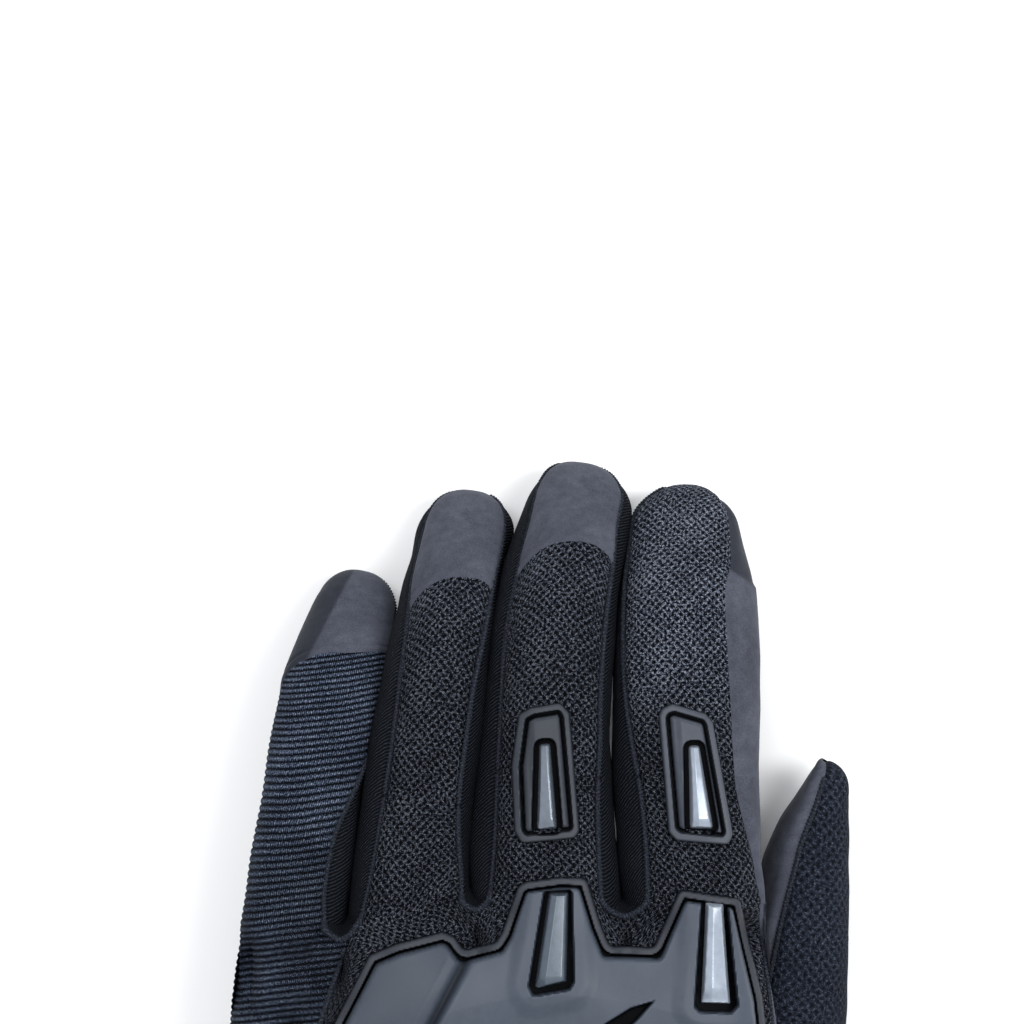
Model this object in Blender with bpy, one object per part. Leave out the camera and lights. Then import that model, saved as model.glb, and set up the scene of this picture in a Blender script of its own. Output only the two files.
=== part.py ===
"""Left riding glove, back of the hand up, fingers along +Y, thumb on the +X side.

Every soft panel is its own closed shell, every guard is its own moulded piece,
and the fingers, the thumb and the wrist strap turn about their own axes.
Dimensions are in millimetres below and are turned into metres by mm().
"""
import math
import bpy
import bmesh
from mathutils import Vector, Matrix

# ------------------------------------------------------------------ dimensions
MM = 0.001
GAP = 0.3               # clearance between touching pieces
WALL = 1.6              # fabric plus lining
N_TUBE = 2.5            # roundness of finger sections
N_HAND = 2.4            # roundness of hand sections
AXIS_DROP = 0.2         # hinge axis below the middle of the finger, share of half height
ROOT_MAX = 65.0         # finger root bend, degrees
PIP_MAX = 75.0          # middle joint bend, degrees
PIP_EXT = 12.0          # middle joint straightening, degrees
ORIGIN_SHIFT = (-5.82, 9.115, 0.0)   # brings the bottom centre of the whole glove to the origin

# name: root x, root y, heading (deg), length, root height, middle joint, cap start, thickness factor
FINGERS = {
    "index": dict(root=(34.4, 18.1), head=-0.2, length=86.0, z0=31.0, pip=46.4, cap=76.0, fat=1.0, drop=0.3, crotch=(4.6, 2.0),
                  left=[(0, 12.0), (15, 12.2), (34, 13.4), (49, 13.6), (63, 13.0), (71, 11.8), (79, 10.5), (83, 9.1)],
                  right=[(0, 14.4), (6, 14.2), (15, 13.4), (25, 12.9), (44, 13.2), (63, 13.2), (71, 12.2), (79, 10.9), (83, 9.5)]),
    "middle": dict(root=(5.4, 19.0), head=4.9, length=89.4, z0=32.0, pip=45.8, cap=74.5, fat=1.02, drop=0.0, crotch=(7.0, 4.0),
                   left=[(0, 11.4), (6, 11.2), (15, 10.8), (33, 11.4), (52, 12.0), (62, 11.3), (70, 10.6), (77, 9.5), (84, 8.4)],
                   right=[(0, 15.4), (8, 14.6), (16, 13.1), (25, 11.7), (35, 10.9), (44, 9.8), (54, 9.4), (64, 9.8), (72, 10.5), (79, 11.0), (85, 9.8)]),
    "ring": dict(root=(-19.9, 17.1), head=8.2, length=86.5, z0=30.5, pip=41.0, cap=70.0, fat=0.95, drop=0.5, crotch=(2.2, 9.5),
                 left=[(0, 11.4), (7, 10.4), (15, 9.9), (35, 9.5), (54, 9.8), (63, 9.9), (71, 9.2), (79, 8.5)],
                 right=[(0, 12.4), (10, 11.4), (18, 10.2), (28, 9.8), (37, 9.8), (47, 9.3), (56, 8.9), (66, 8.7), (74, 9.2), (82, 8.8)]),
    "pinky": dict(root=(-45.0, 13.3), head=12.1, length=75.4, z0=28.0, pip=34.5, cap=59.5, fat=0.86, drop=1.5, crotch=(1.5, 7.5),
                  left=[(0, 8.2), (9, 8.4), (19, 9.2), (28, 9.4), (38, 10.2), (48, 10.5), (58, 9.4), (68, 7.5)],
                  right=[(0, 11.6), (7, 10.6), (13, 9.3), (23, 9.2), (33, 9.9), (42, 9.8), (52, 9.6), (62, 9.0), (71, 7.9)]),
}
# height of the finger's middle line and its half height, for a finger 89 long
FINGER_Z = [(-14, 31.0), (0, 31.0), (15, 30.0), (30, 28.6), (45, 26.4), (55, 23.6), (66, 18.2), (76, 12.0), (82, 8.6), (89, 5.6), (95, 4.0)]
FINGER_B = [(-14, 12.4), (0, 12.0), (20, 11.4), (44, 10.7), (62, 10.0), (76, 9.2), (84, 8.4), (95, 7.6)]

THUMB = dict(root=(52.0, -8.0), head=9.0, length=58.6, ip=27.0,
             left=[(-60, 15.0), (-25, 13.0), (0, 11.4), (13, 10.2), (28, 9.3), (38, 8.9), (45, 7.6), (52, 5.4)],
             right=[(-60, 15.0), (-25, 13.5), (0, 12.3), (13, 11.6), (28, 9.6), (38, 8.0), (45, 7.1), (52, 5.9)],
             b=[(-60, 15.5), (-25, 12.6), (0, 11.4), (20, 11.0), (34, 10.0), (46, 8.2), (54, 6.6)],
             z=[(-60, 17.0), (-25, 13.6), (0, 12.2), (30, 12.0), (60, 11.2)])
THUMB_AXIS_TILT = 100.0  # the thumb bends towards the palm side: straight down and a little outwards

# hand rows: y, left x, right x, middle height, half height
HAND_ROWS = [(-130, -43.5, 43.5, 24.5, 22.6), (-104, -40.8, 40.6, 24.0, 21.8), (-85, -40.0, 40.0, 23.9, 21.2),
             (-74, -43.0, 42.4, 23.4, 20.9), (-60, -48.5, 46.4, 23.6, 21.0), (-45, -52.6, 49.4, 25.4, 20.2),
             (-30, -54.6, 50.8, 27.9, 18.4), (-15, -54.9, 51.2, 30.0, 16.4), (0, -54.2, 50.6, 30.9, 14.8),
             (14, -52.8, 49.3, 31.0, 14.2), (22, -52.2, 48.9, 30.7, 14.0), (34, -51.5, 48.4, 29.7, 13.6)]
# front edge of the hand panels: x, y (it follows the four finger hinge lines)
FRONT = [(-56, 15.2), (-45, 12.9), (-34, 10.5), (-29.5, 18.1), (-20, 16.7), (-9, 15.1), (-5, 19.5), (5.4, 18.6),
         (18, 17.5), (24, 17.7), (56, 17.7)]
ROOT_AXIS_Z = 28.6
WRIST_Y = -78.0         # seam between the hand panels and the cuff
CUFF_Y = -127.0         # open end of the cuff

STRAP_Y = (-113.5, -89.5)          # strap edges along the forearm
STRAP_ANCHOR_X = -30.0             # hinge line of the strap, little finger side
STRAP_END_X = 29.0
STRAP_MAX = 120.0


# ------------------------------------------------------------------ small helpers
def mm(v):
    return Vector(((v[0] + ORIGIN_SHIFT[0]) * MM, (v[1] + ORIGIN_SHIFT[1]) * MM, (v[2] + ORIGIN_SHIFT[2]) * MM))


def table(rows, x, k=1):
    """Smooth interpolation (Catmull-Rom) of column k of a table sorted by column 0."""
    n = len(rows)
    if x <= rows[0][0]:
        return rows[0][k]
    if x >= rows[-1][0]:
        return rows[-1][k]
    i = 0
    while rows[i + 1][0] < x:
        i += 1
    x0, x1 = rows[i][0], rows[i + 1][0]
    h = x1 - x0
    d = (rows[i + 1][k] - rows[i][k]) / h
    def slope(j):
        if j <= 0 or j >= n - 1:
            return d
        a = (rows[j][k] - rows[j - 1][k]) / (rows[j][0] - rows[j - 1][0])
        b = (rows[j + 1][k] - rows[j][k]) / (rows[j + 1][0] - rows[j][0])
        return 0.0 if a * b < 0 else 0.5 * (a + b)
    m0, m1 = slope(i), slope(i + 1)
    s = (x - x0) / h
    return ((2 * s ** 3 - 3 * s ** 2 + 1) * rows[i][k] + (s ** 3 - 2 * s ** 2 + s) * h * m0
            + (-2 * s ** 3 + 3 * s ** 2) * rows[i + 1][k] + (s ** 3 - s ** 2) * h * m1)


def polyline(rows, x):
    for (x0, y0), (x1, y1) in zip(rows, rows[1:]):
        if x <= x1:
            return y0 + (y1 - y0) * max(0.0, (x - x0)) / (x1 - x0)
    return rows[-1][1]


def spow(c, p):
    return math.copysign(abs(c) ** p, c)


class Tube:
    """A finger: sections square to a middle line that lies in one upright plane."""

    def __init__(self, root, head, length, zfun, left, right, bfun, n=N_TUBE, dome=9.0):
        self.root, self.head, self.length = root, math.radians(head), length
        self.zfun, self.lt, self.rt, self.bfun, self.n, self.dome = zfun, left, right, bfun, n, dome
        self.u = Vector((math.sin(self.head), math.cos(self.head), 0.0))
        self.N = Vector((math.cos(self.head), -math.sin(self.head), 0.0))

    def centre(self, t):
        return Vector((self.root[0], self.root[1], 0.0)) + self.u * t + Vector((0, 0, self.zfun(t)))

    def frame(self, t):
        T = (self.centre(t + 0.5) - self.centre(t - 0.5)).normalized()
        return T, self.N.cross(T).normalized()

    def sizes(self, t, inset=0.0):
        a_l, a_r, b = table(self.lt, t), table(self.rt, t), self.bfun(t)
        end, k = self.length - inset, 1.0
        t1 = self.length - self.dome
        if t > t1:
            k = max(0.0, 1.0 - min(1.0, (t - t1) / (end - t1)) ** 2.2) ** (1 / 2.2)
        return (a_l - inset) * k, (a_r - inset) * k, (b - inset) * k

    def point(self, t, theta, inset=0.0):
        a_l, a_r, b = self.sizes(t, inset)
        T, B = self.frame(min(t, self.length - 2.0))
        c, s = math.cos(theta), math.sin(theta)
        side = a_r if c > 0 else a_l
        return (self.centre(t) + self.N * (side * spow(c, 2 / self.n))
                + B * (b * spow(s, 2 / self.n)))

    def axis_point(self, t):
        T, B = self.frame(t)
        return self.centre(t) - B * (AXIS_DROP * self.bfun(t))

    def top(self, x, y):
        """Height of the back surface above a plan position."""
        p = Vector((x - self.root[0], y - self.root[1], 0.0))
        t, o = p.dot(self.u), p.dot(self.N)
        a_l, a_r, b = self.sizes(t)
        a = a_r if o > 0 else a_l
        T, B = self.frame(t)
        q = max(0.0, 1.0 - min(1.0, abs(o) / max(a, 0.1)) ** self.n) ** (1 / self.n)
        return self.zfun(t) + b * q / max(0.4, B.z)


def finger_tube(spec):
    f = spec["length"] / 89.0
    lift = spec["z0"] - 31.0
    drop = spec["drop"]
    zf = lambda t: (table(FINGER_Z, t / f) + lift * max(0.0, 1.0 - max(0.0, t / f) / 80.0)
                    - drop * max(0.0, t / f) / 80.0)
    bf = lambda t: table(FINGER_B, t / f) * spec["fat"]
    return Tube(spec["root"], spec["head"], spec["length"], zf, spec["left"], spec["right"], bf)


def thumb_tube():
    return Tube(THUMB["root"], THUMB["head"], THUMB["length"], lambda t: table(THUMB["z"], t),
                THUMB["left"], THUMB["right"], lambda t: table(THUMB["b"], t), n=2.3, dome=8.0)


def hand_point(y, theta, inset=0.0):
    xl, xr = table(HAND_ROWS, y, 1), table(HAND_ROWS, y, 2)
    zc, hh = table(HAND_ROWS, y, 3), table(HAND_ROWS, y, 4)
    c, s = math.cos(theta), math.sin(theta)
    return Vector(((xl + xr) / 2 + ((xr - xl) / 2 - inset) * spow(c, 2 / N_HAND), y,
                   zc + (hh - inset) * spow(s, 2 / N_HAND)))


def hand_height(x, y, sign=1):
    xl, xr = table(HAND_ROWS, y, 1), table(HAND_ROWS, y, 2)
    zc, hh = table(HAND_ROWS, y, 3), table(HAND_ROWS, y, 4)
    u = min(1.0, abs(x - (xl + xr) / 2) / ((xr - xl) / 2))
    return zc + sign * hh * max(0.0, 1.0 - u ** N_HAND) ** (1 / N_HAND)


# ------------------------------------------------------------------ materials
COLOURS = {
    "air_mesh": ((0.018, 0.020, 0.026), 0.85, "fabric"), "rib_knit": ((0.020, 0.024, 0.036), 0.8, "fabric"),
    "twill": ((0.014, 0.016, 0.022), 0.75, "fabric"), "suede": ((0.070, 0.074, 0.088), 0.8, "leather"),
    "tpr_slate": ((0.065, 0.072, 0.085), 0.5, "rubber"), "tpr_dark": ((0.030, 0.034, 0.042), 0.55, "rubber"),
    "ridge_silver": ((0.330, 0.350, 0.380), 0.3, "plastic"), "webbing": ((0.016, 0.018, 0.022), 0.8, "fabric"),
    "hook_loop": ((0.012, 0.013, 0.016), 0.95, "fabric"),
}


def material(name, slot):
    m = bpy.data.materials.new(name + "_" + slot)
    m.use_nodes = True
    p = m.node_tree.nodes["Principled BSDF"]
    rgb, rough, _ = COLOURS[slot]
    p.inputs["Base Color"].default_value = (*rgb, 1.0)
    p.inputs["Roughness"].default_value = rough
    p.inputs["Metallic"].default_value = 0.0
    m.diffuse_color = (*rgb, 1.0)
    return m


BODIES = {}          # body name -> empty that carries its pieces
PIECES = {}          # node name -> object


def carrier(name, at=None):
    e = bpy.data.objects.new("body_" + name, None)
    bpy.context.scene.collection.objects.link(e)
    e.location = mm(at) if at is not None else Vector((0, 0, 0))
    BODIES[name] = e
    return e


def biggest(bm):
    """Keep only the largest connected body."""
    bm.verts.ensure_lookup_table()
    seen, best = set(), []
    for v in bm.verts:
        if v in seen:
            continue
        stack, group = [v], []
        seen.add(v)
        while stack:
            w = stack.pop()
            group.append(w)
            for e in w.link_edges:
                o = e.other_vert(w)
                if o not in seen:
                    seen.add(o)
                    stack.append(o)
        if len(group) > len(best):
            best = group
    keep = set(best)
    bmesh.ops.delete(bm, geom=[v for v in bm.verts if v not in keep], context="VERTS")


def add(name, slot, body, bm):
    """Turn a bmesh in glove millimetres into a piece carried by its body's empty."""
    bmesh.ops.triangulate(bm, faces=bm.faces[:])
    bmesh.ops.recalc_face_normals(bm, faces=bm.faces[:])
    base = BODIES[body].location
    for v in bm.verts:
        v.co = mm(v.co) - base
    me = bpy.data.meshes.new(name)
    bm.to_mesh(me)
    bm.free()
    me.materials.append(material(name, slot))
    me.shade_smooth()
    me.set_sharp_from_angle(angle=math.radians(40))
    ob = bpy.data.objects.new(name, me)
    bpy.context.scene.collection.objects.link(ob)
    ob.parent = BODIES[body]
    PIECES[name] = ob
    return ob


# ------------------------------------------------------------------ shapes
def shell(outer, inner, closed=False):
    """A closed sheet from two grids of points; closed joins the last column to the first."""
    bm = bmesh.new()
    rows, cols = len(outer), len(outer[0])
    O = [[bm.verts.new(p) for p in r] for r in outer]
    I = [[bm.verts.new(p) for p in r] for r in inner]
    last = cols if closed else cols - 1
    for i in range(rows - 1):
        for j in range(last):
            k = (j + 1) % cols
            bm.faces.new((O[i][j], O[i][k], O[i + 1][k], O[i + 1][j]))
            bm.faces.new((I[i][j], I[i + 1][j], I[i + 1][k], I[i][k]))
    for i, flip in ((0, False), (rows - 1, True)):
        for j in range(last):
            k = (j + 1) % cols
            bm.faces.new((O[i][j], I[i][j], I[i][k], O[i][k]))
    if not closed:
        for i in range(rows - 1):
            for j in (0, cols - 1):
                bm.faces.new((O[i][j], O[i + 1][j], I[i + 1][j], I[i][j]))
    return bm


def tube_panel(tube, th0, th1, start, end, nt, nth, wall=WALL):
    """Part of a finger's wall between two angles; start and end are functions of the angle."""
    outer, inner = [], []
    mean = 12.0
    d = math.degrees(GAP / 2 / mean)
    for i in range(nt + 1):
        ro, ri = [], []
        for j in range(nth + 1):
            th = math.radians(th0 + d + (th1 - th0 - 2 * d) * j / nth)
            a, b = start(th), end(th)
            t = a + (b - a) * i / nt
            ro.append(tube.point(t, th))
            ri.append(tube.point(t, th, wall))
        outer.append(ro)
        inner.append(ri)
    return shell(outer, inner)


def tube_cap(tube, t0, nth=14, nt=4, wall=WALL, th0=None, th1=None):
    """The closed end of a finger from t0 to the tip."""
    bm = bmesh.new()
    rings = []
    for inset, end in ((0.0, tube.length), (wall, tube.length - wall)):
        t1 = tube.length - tube.dome
        stations = [t0, t1] + [t1 + (end - t1) * math.sin(math.pi / 2 * i / nt) for i in range(1, nt)]
        rr = [[bm.verts.new(tube.point(t, 2 * math.pi * j / nth, inset)) for j in range(nth)] for t in stations]
        tip = bm.verts.new(tube.centre(end))
        rings.append((rr, tip))
    for (rr, tip), flip in zip(rings, (False, True)):
        for a, b in zip(rr, rr[1:]):
            for j in range(nth):
                k = (j + 1) % nth
                f = (a[j], a[k], b[k], b[j])
                bm.faces.new(f[::-1] if flip else f)
        for j in range(nth):
            f = (rr[-1][j], rr[-1][(j + 1) % nth], tip)
            bm.faces.new(f[::-1] if flip else f)
    a, b = rings[0][0][0], rings[1][0][0]
    for j in range(nth):
        k = (j + 1) % nth
        bm.faces.new((a[j], b[j], b[k], a[k]))
    return bm


def hinge_edge(tube, t_joint, side, bend, extend, extra=0.0):
    """Edge of a panel at a hinge, cut back below the axis by half the bend and above it
    by half the straightening. side is +1 past the hinge and -1 before it."""
    A = tube.axis_point(t_joint)
    T, B = tube.frame(t_joint)
    def edge(theta):
        h = (tube.point(t_joint, theta) - A).dot(B)
        cut = 0.4 + extra
        if h < 0:
            cut += -h * math.tan(math.radians(bend / 2)) * 1.1 + min(0.5, -h)
        else:
            cut += h * math.tan(math.radians(extend / 2))
        return t_joint + side * cut
    return edge


def constant(t):
    return lambda theta: t


def later(a, b):
    return lambda theta: max(a(theta), b(theta))


def plate(outline, low, high, cells=5.0):
    """A plate with a plan outline, whose underside and top follow two height functions."""
    bm = bmesh.new()
    vs = [bm.verts.new((x, y, 0.0)) for x, y in outline]
    face = bm.faces.new(vs)
    ext = bmesh.ops.extrude_face_region(bm, geom=[face])
    up = {g for g in ext["geom"] if isinstance(g, bmesh.types.BMVert)}
    for v in up:
        v.co.z = 1.0
    xs, ys = [p[0] for p in outline], [p[1] for p in outline]
    for lo, hi, normal in ((min(xs), max(xs), (1, 0, 0)), (min(ys), max(ys), (0, 1, 0))):
        n = max(1, int((hi - lo) / cells))
        for i in range(1, n):
            at = lo + (hi - lo) * i / n
            bmesh.ops.bisect_plane(bm, geom=bm.verts[:] + bm.edges[:] + bm.faces[:], dist=1e-5,
                                   plane_co=Vector(normal) * at, plane_no=normal)
    for v in bm.verts:
        v.co.z = high(v.co.x, v.co.y) if v.co.z > 0.5 else low(v.co.x, v.co.y)
    return bm


def rounded(cx, cy, w, h, r, turn=0.0, n=3):
    pts = []
    c, s = math.cos(math.radians(turn)), math.sin(math.radians(turn))
    for qx, qy, a0 in ((1, 1, 0), (-1, 1, 90), (-1, -1, 180), (1, -1, 270)):
        for i in range(n + 1):
            a = math.radians(a0 + 90 * i / n)
            x, y = qx * (w / 2 - r) + r * math.cos(a), qy * (h / 2 - r) + r * math.sin(a)
            pts.append((cx + x * c - y * s, cy + x * s + y * c))
    return pts


def inset(poly, d):
    """Move a counter-clockwise outline inwards by d."""
    out = []
    n = len(poly)
    for i in range(n):
        p0, p1, p2 = Vector(poly[i - 1]), Vector(poly[i]), Vector(poly[(i + 1) % n])
        e0, e1 = (p1 - p0).normalized(), (p2 - p1).normalized()
        n0, n1 = Vector((-e0.y, e0.x)), Vector((-e1.y, e1.x))
        b = n0 + n1
        k = d / max(0.35, 1 + n0.dot(n1))
        out.append((p1.x + b.x * k, p1.y + b.y * k))
    return out


def cut(target, cutter):
    """Boolean difference, applied, keeping the largest body."""
    mod = target.modifiers.new("cut", "BOOLEAN")
    mod.operation = "DIFFERENCE"
    mod.solver = "EXACT"
    mod.object = cutter
    bpy.context.view_layer.update()
    dg = bpy.context.evaluated_depsgraph_get()
    me = bpy.data.meshes.new_from_object(target.evaluated_get(dg))
    target.modifiers.clear()
    bm = bmesh.new()
    bm.from_mesh(me)
    bmesh.ops.remove_doubles(bm, verts=bm.verts[:], dist=2e-6)
    biggest(bm)
    bmesh.ops.triangulate(bm, faces=bm.faces[:])
    bm.to_mesh(target.data)
    bm.free()


# ------------------------------------------------------------------ the glove
def build():
    for ob in list(bpy.data.objects):
        bpy.data.objects.remove(ob, do_unlink=True)
    tubes = {k: finger_tube(s) for k, s in FINGERS.items()}
    thumb = thumb_tube()

    carrier("hand")

    # fingers -------------------------------------------------------------
    for name, spec in FINGERS.items():
        tb = tubes[name]
        prox, dist = name + "_proximal", name + "_distal"
        carrier(prox, tb.axis_point(0.0))
        carrier(dist, tb.axis_point(spec["pip"]))
        back = "rib_knit" if name == "pinky" else "air_mesh"
        r0 = hinge_edge(tb, 0.0, 1, ROOT_MAX, 0.0)
        p0 = hinge_edge(tb, spec["pip"], -1, PIP_MAX, PIP_EXT)
        d0 = hinge_edge(tb, spec["pip"], 1, PIP_MAX, PIP_EXT)
        c0 = constant(spec["cap"] - GAP)
        cl, cr = constant(spec["crotch"][0]), constant(spec["crotch"][1])
        palm_cut = lambda th: r0(th) + 0.6
        # the little finger's rib knit runs over its back and outer side in one piece, and
        # the index finger's leather runs from its pad round its outer side in one piece
        back_to = 218 if name == "pinky" else 142
        palm_to = 398 if name == "index" else 322
        for part, body, a, b in (("proximal", prox, r0, p0), ("distal", dist, d0, c0)):
            near = palm_cut if part == "proximal" else d0
            first_l = later(a, cl) if part == "proximal" else a
            first_r = later(a, cr) if part == "proximal" else a
            add(f"{name}_back_{part}", back, body, tube_panel(tb, 38, back_to, a, b, 4, 4 if back_to == 142 else 7))
            add(f"{name}_palm_{part}", "suede", body, tube_panel(tb, 218, palm_to, near, b, 3, 4 if palm_to == 322 else 7))
            if name != "pinky":
                add(f"{name}_side_left_{part}", "twill", body, tube_panel(tb, 142, 218, first_l, b, 4, 3))
            if name != "index":
                add(f"{name}_side_right_{part}", "twill", body, tube_panel(tb, -38, 38, first_r, b, 4, 3))
        add(f"{name}_fingertip", "air_mesh" if name == "index" else "suede", dist, tube_cap(tb, spec["cap"]))

    # finger guards: dark frame with a raised ridge ------------------------
    for name, frame, ridge in (
            ("middle", [(0.9, 60.0), (9.4, 62.2), (11.0, 60.6), (12.9, 38.0), (11.8, 36.6), (1.2, 35.3), (-0.1, 44.8)],
             [(5.2, 54.6), (7.6, 54.6), (9.0, 38.7), (4.9, 38.7)]),
            ("index", [(27.7, 57.5), (28.3, 60.8), (30.6, 62.1), (38.0, 59.8), (42.0, 36.5), (40.9, 34.6), (30.2, 35.7)],
             [(33.0, 53.8), (35.4, 53.8), (38.6, 38.3), (34.6, 38.3)])):
        tb = tubes[name]
        frame = frame[::-1]
        ridge = ridge[::-1]
        seat = lambda x, y, tb=tb: tb.top(x, y)
        add(f"{name}_guard_frame", "tpr_dark", name + "_proximal",
            plate(frame, lambda x, y: seat(x, y) + 0.8, lambda x, y: seat(x, y) + 2.6, 3.4))
        add(f"{name}_guard_ridge", "ridge_silver", name + "_proximal",
            plate(ridge, lambda x, y: seat(x, y) + 3.1,
                  lambda x, y: seat(x, y) + 4.8, 3.4))

    # thumb ---------------------------------------------------------------
    carrier("thumb_base", thumb.centre(0.0))
    carrier("thumb_tip", thumb.centre(THUMB["ip"]))
    side = lambda t_j, s, bend: (lambda th: t_j + s * (0.4 + max(0.0, (thumb.point(t_j, th) - thumb.centre(t_j)).dot(
        thumb_down())) * math.tan(math.radians(bend / 2))))
    ip = THUMB["ip"]
    add("thumb_mesh_base", "air_mesh", "thumb_base",
        tube_panel(thumb, -42, 128, side(0, 1, 42), side(ip, -1, 54), 4, 7))
    add("thumb_leather_base", "suede", "thumb_base",
        tube_panel(thumb, 128, 318, side(0, 1, 42), side(ip, -1, 54), 4, 7))
    add("thumb_mesh_tip", "air_mesh", "thumb_tip", thumb_half(thumb, -42, 128, side(ip, 1, 54)))
    add("thumb_leather_tip", "suede", "thumb_tip", thumb_half(thumb, 128, 318, side(ip, 1, 54)))

    # hand panels ---------------------------------------------------------
    def hand_panel(th0, th1, rows, nth, y0, y1):
        d = math.degrees(GAP / 2 / 25.0)
        outer, inner = [], []
        for i in range(rows + 1):
            ro, ri = [], []
            for j in range(nth + 1):
                th = math.radians(th0 + d + (th1 - th0 - 2 * d) * j / nth)
                end = y1(th)
                y = y0 + (end - y0) * i / rows
                ro.append(hand_point(y, th))
                ri.append(hand_point(y, th, WALL))
            outer.append(ro)
            inner.append(ri)
        return shell(outer, inner)

    def front(th):
        p = hand_point(14.0, th)
        e = polyline(FRONT, p.x) - 0.4
        return e - max(0.0, ROOT_AXIS_Z - p.z) * math.tan(math.radians(ROOT_MAX / 2))

    add("back_mesh_panel", "air_mesh", "hand", hand_panel(32, 137, 7, 26, WRIST_Y + GAP, front))
    add("outer_rib_panel", "rib_knit", "hand", hand_panel(137, 222, 8, 5, WRIST_Y + GAP, front))
    add("palm_panel", "suede", "hand", hand_panel(222, 324, 9, 10, WRIST_Y + GAP, front))
    add("thumb_side_panel", "suede", "hand", hand_panel(-36, 32, 9, 5, WRIST_Y + GAP, front))

    # cuff ----------------------------------------------------------------
    flat = lambda th: WRIST_Y - GAP / 2
    add("cuff_back", "rib_knit", "hand", hand_panel(8, 172, 4, 12, CUFF_Y, flat))
    add("cuff_palm", "webbing", "hand", hand_panel(172, 368, 4, 12, CUFF_Y, flat))

    # thumb socket: a tapering sleeve sewn to the lower edge of the hand -----
    ring_o, ring_i, fat_o = [], [], []
    spine = [(-0.4, 0.0), (-8.0, 0.4), (-18.0, 2.6), (-30.0, 8.0), (-42.0, 16.0), (-52.0, 25.0)]
    for t, inward in spine:
        ro, ri, rf = [], [], []
        for j in range(18):
            th = 2 * math.pi * j / 18
            cutback = 0.0
            if t > -1:
                cutback = max(0.0, (thumb.point(0, th) - thumb.centre(0)).dot(thumb_down())) * math.tan(math.radians(22.5))
            shift = thumb.N * -inward + Vector((0, 0, 0.0))
            ro.append(thumb.point(t - cutback, th) + shift)
            ri.append(thumb.point(t - cutback, th, WALL) + shift)
            rf.append(thumb.point(t + (6 if t > -1 else 0), th, -GAP) + shift)
        ring_o.append(ro)
        ring_i.append(ri)
        fat_o.append(rf)
    add("thumb_socket", "suede", "hand", shell(ring_o, ring_i, closed=True))

    def solid(rings, name):
        bm = bmesh.new()
        R = [[bm.verts.new(p) for p in r] for r in rings]
        n = len(R[0])
        for a, b in zip(R, R[1:]):
            for j in range(n):
                k = (j + 1) % n
                bm.faces.new((a[j], a[k], b[k], b[j]))
        bm.faces.new(R[0])
        bm.faces.new(R[-1][::-1])
        bmesh.ops.recalc_face_normals(bm, faces=bm.faces[:])
        for v in bm.verts:
            v.co = mm(v.co)
        me = bpy.data.meshes.new(name)
        bm.to_mesh(me)
        bm.free()
        ob = bpy.data.objects.new(name, me)
        bpy.context.scene.collection.objects.link(ob)
        ob.hide_render = True
        ob.display_type = "WIRE"
        return ob

    ys = [-78 + (30 + 78) * i / 12 for i in range(13)]
    hand_solid = solid([[hand_point(y, 2 * math.pi * j / 40, -GAP) for j in range(40)] for y in ys], "cutter_hand")
    thumb_solid = solid(fat_o, "cutter_thumb")
    cut(PIECES["thumb_socket"], hand_solid)
    for n in ("palm_panel", "thumb_side_panel"):
        cut(PIECES[n], thumb_solid)
    for ob in (hand_solid, thumb_solid):
        bpy.data.objects.remove(ob, do_unlink=True)

    # palm pads -----------------------------------------------------------
    add("palm_heel_pad", "suede", "hand",
        plate(rounded(-16.0, -60.0, 40.0, 26.0, 9.0), lambda x, y: 0.0,
              lambda x, y: hand_height(x, y, -1) - 0.5, 6.0))
    add("palm_grip_pad", "suede", "hand",
        plate(rounded(-8.0, -14.0, 62.0, 22.0, 8.0),
              lambda x, y: hand_height(x, y, -1) - 1.9, lambda x, y: hand_height(x, y, -1) - 0.5, 6.0))

    # knuckle guard -------------------------------------------------------
    def seat(x, y):
        """The guard rests on the back of the hand and stands clear of the finger roots."""
        h = hand_height(x, y)
        lift = max([0.0] + [tubes[k].top(x, y) + 0.7 - h for k in ("index", "middle", "ring")])
        s = min(1.0, max(0.0, (y - 2.0) / 14.0))
        return h + lift * s * s * (3.0 - 2.0 * s)

    flange = [(-34.0, 1.5), (-37.0, -10.0), (-33.0, -22.0), (-20.0, -30.0), (0.0, -34.0), (22.0, -33.0), (38.0, -27.0),
              (46.0, -14.0), (47.6, -2.0), (46.4, 9.0), (43.0, 23.4), (41.8, 24.9), (31.4, 25.8), (26.4, 15.2),
              (20.0, 15.4), (18.8, 16.4), (15.0, 26.2), (12.9, 28.6), (2.0, 26.6), (-1.5, 17.2), (-3.4, 15.2),
              (-9.0, 14.3), (-10.8, 16.6), (-14.0, 18.0), (-26.9, 12.8)]
    add("knuckle_guard_flange", "tpr_dark", "hand",
        plate(flange, lambda x, y: seat(x, y) + 0.8, lambda x, y: seat(x, y) + 1.9, 6.0))
    facet = [(-27.0, -14.0), (-19.6, -18.0), (-15.4, 1.5), (-9.6, 11.2), (-14.4, 14.4), (-26.0, 9.6), (-31.2, -1.0)]
    shell_out = [(-16.6, -19.5), (0.0, -30.6), (20.6, -29.8), (35.6, -24.2), (43.0, -12.8), (44.6, -2.0), (43.6, 8.0),
                 (40.8, 22.2), (32.6, 22.8), (27.4, 12.4), (18.6, 12.6), (13.6, 23.2), (12.0, 25.4), (4.0, 24.0),
                 (0.6, 14.6), (-2.6, 12.2), (-8.6, 10.8), (-14.6, 1.0)]
    pocket_m = [(1.8, 5.4), (9.6, 6.2), (9.0, 24.0), (5.2, 23.4)]
    pocket_i = [(33.4, 3.2), (41.2, 3.4), (40.0, 19.6), (35.2, 19.6)]
    dome = lambda x, y: seat(x, y) + 5.4 - 2.2 * min(1.0, (abs(y + 4.0) / 30.0) ** 2)
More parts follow.
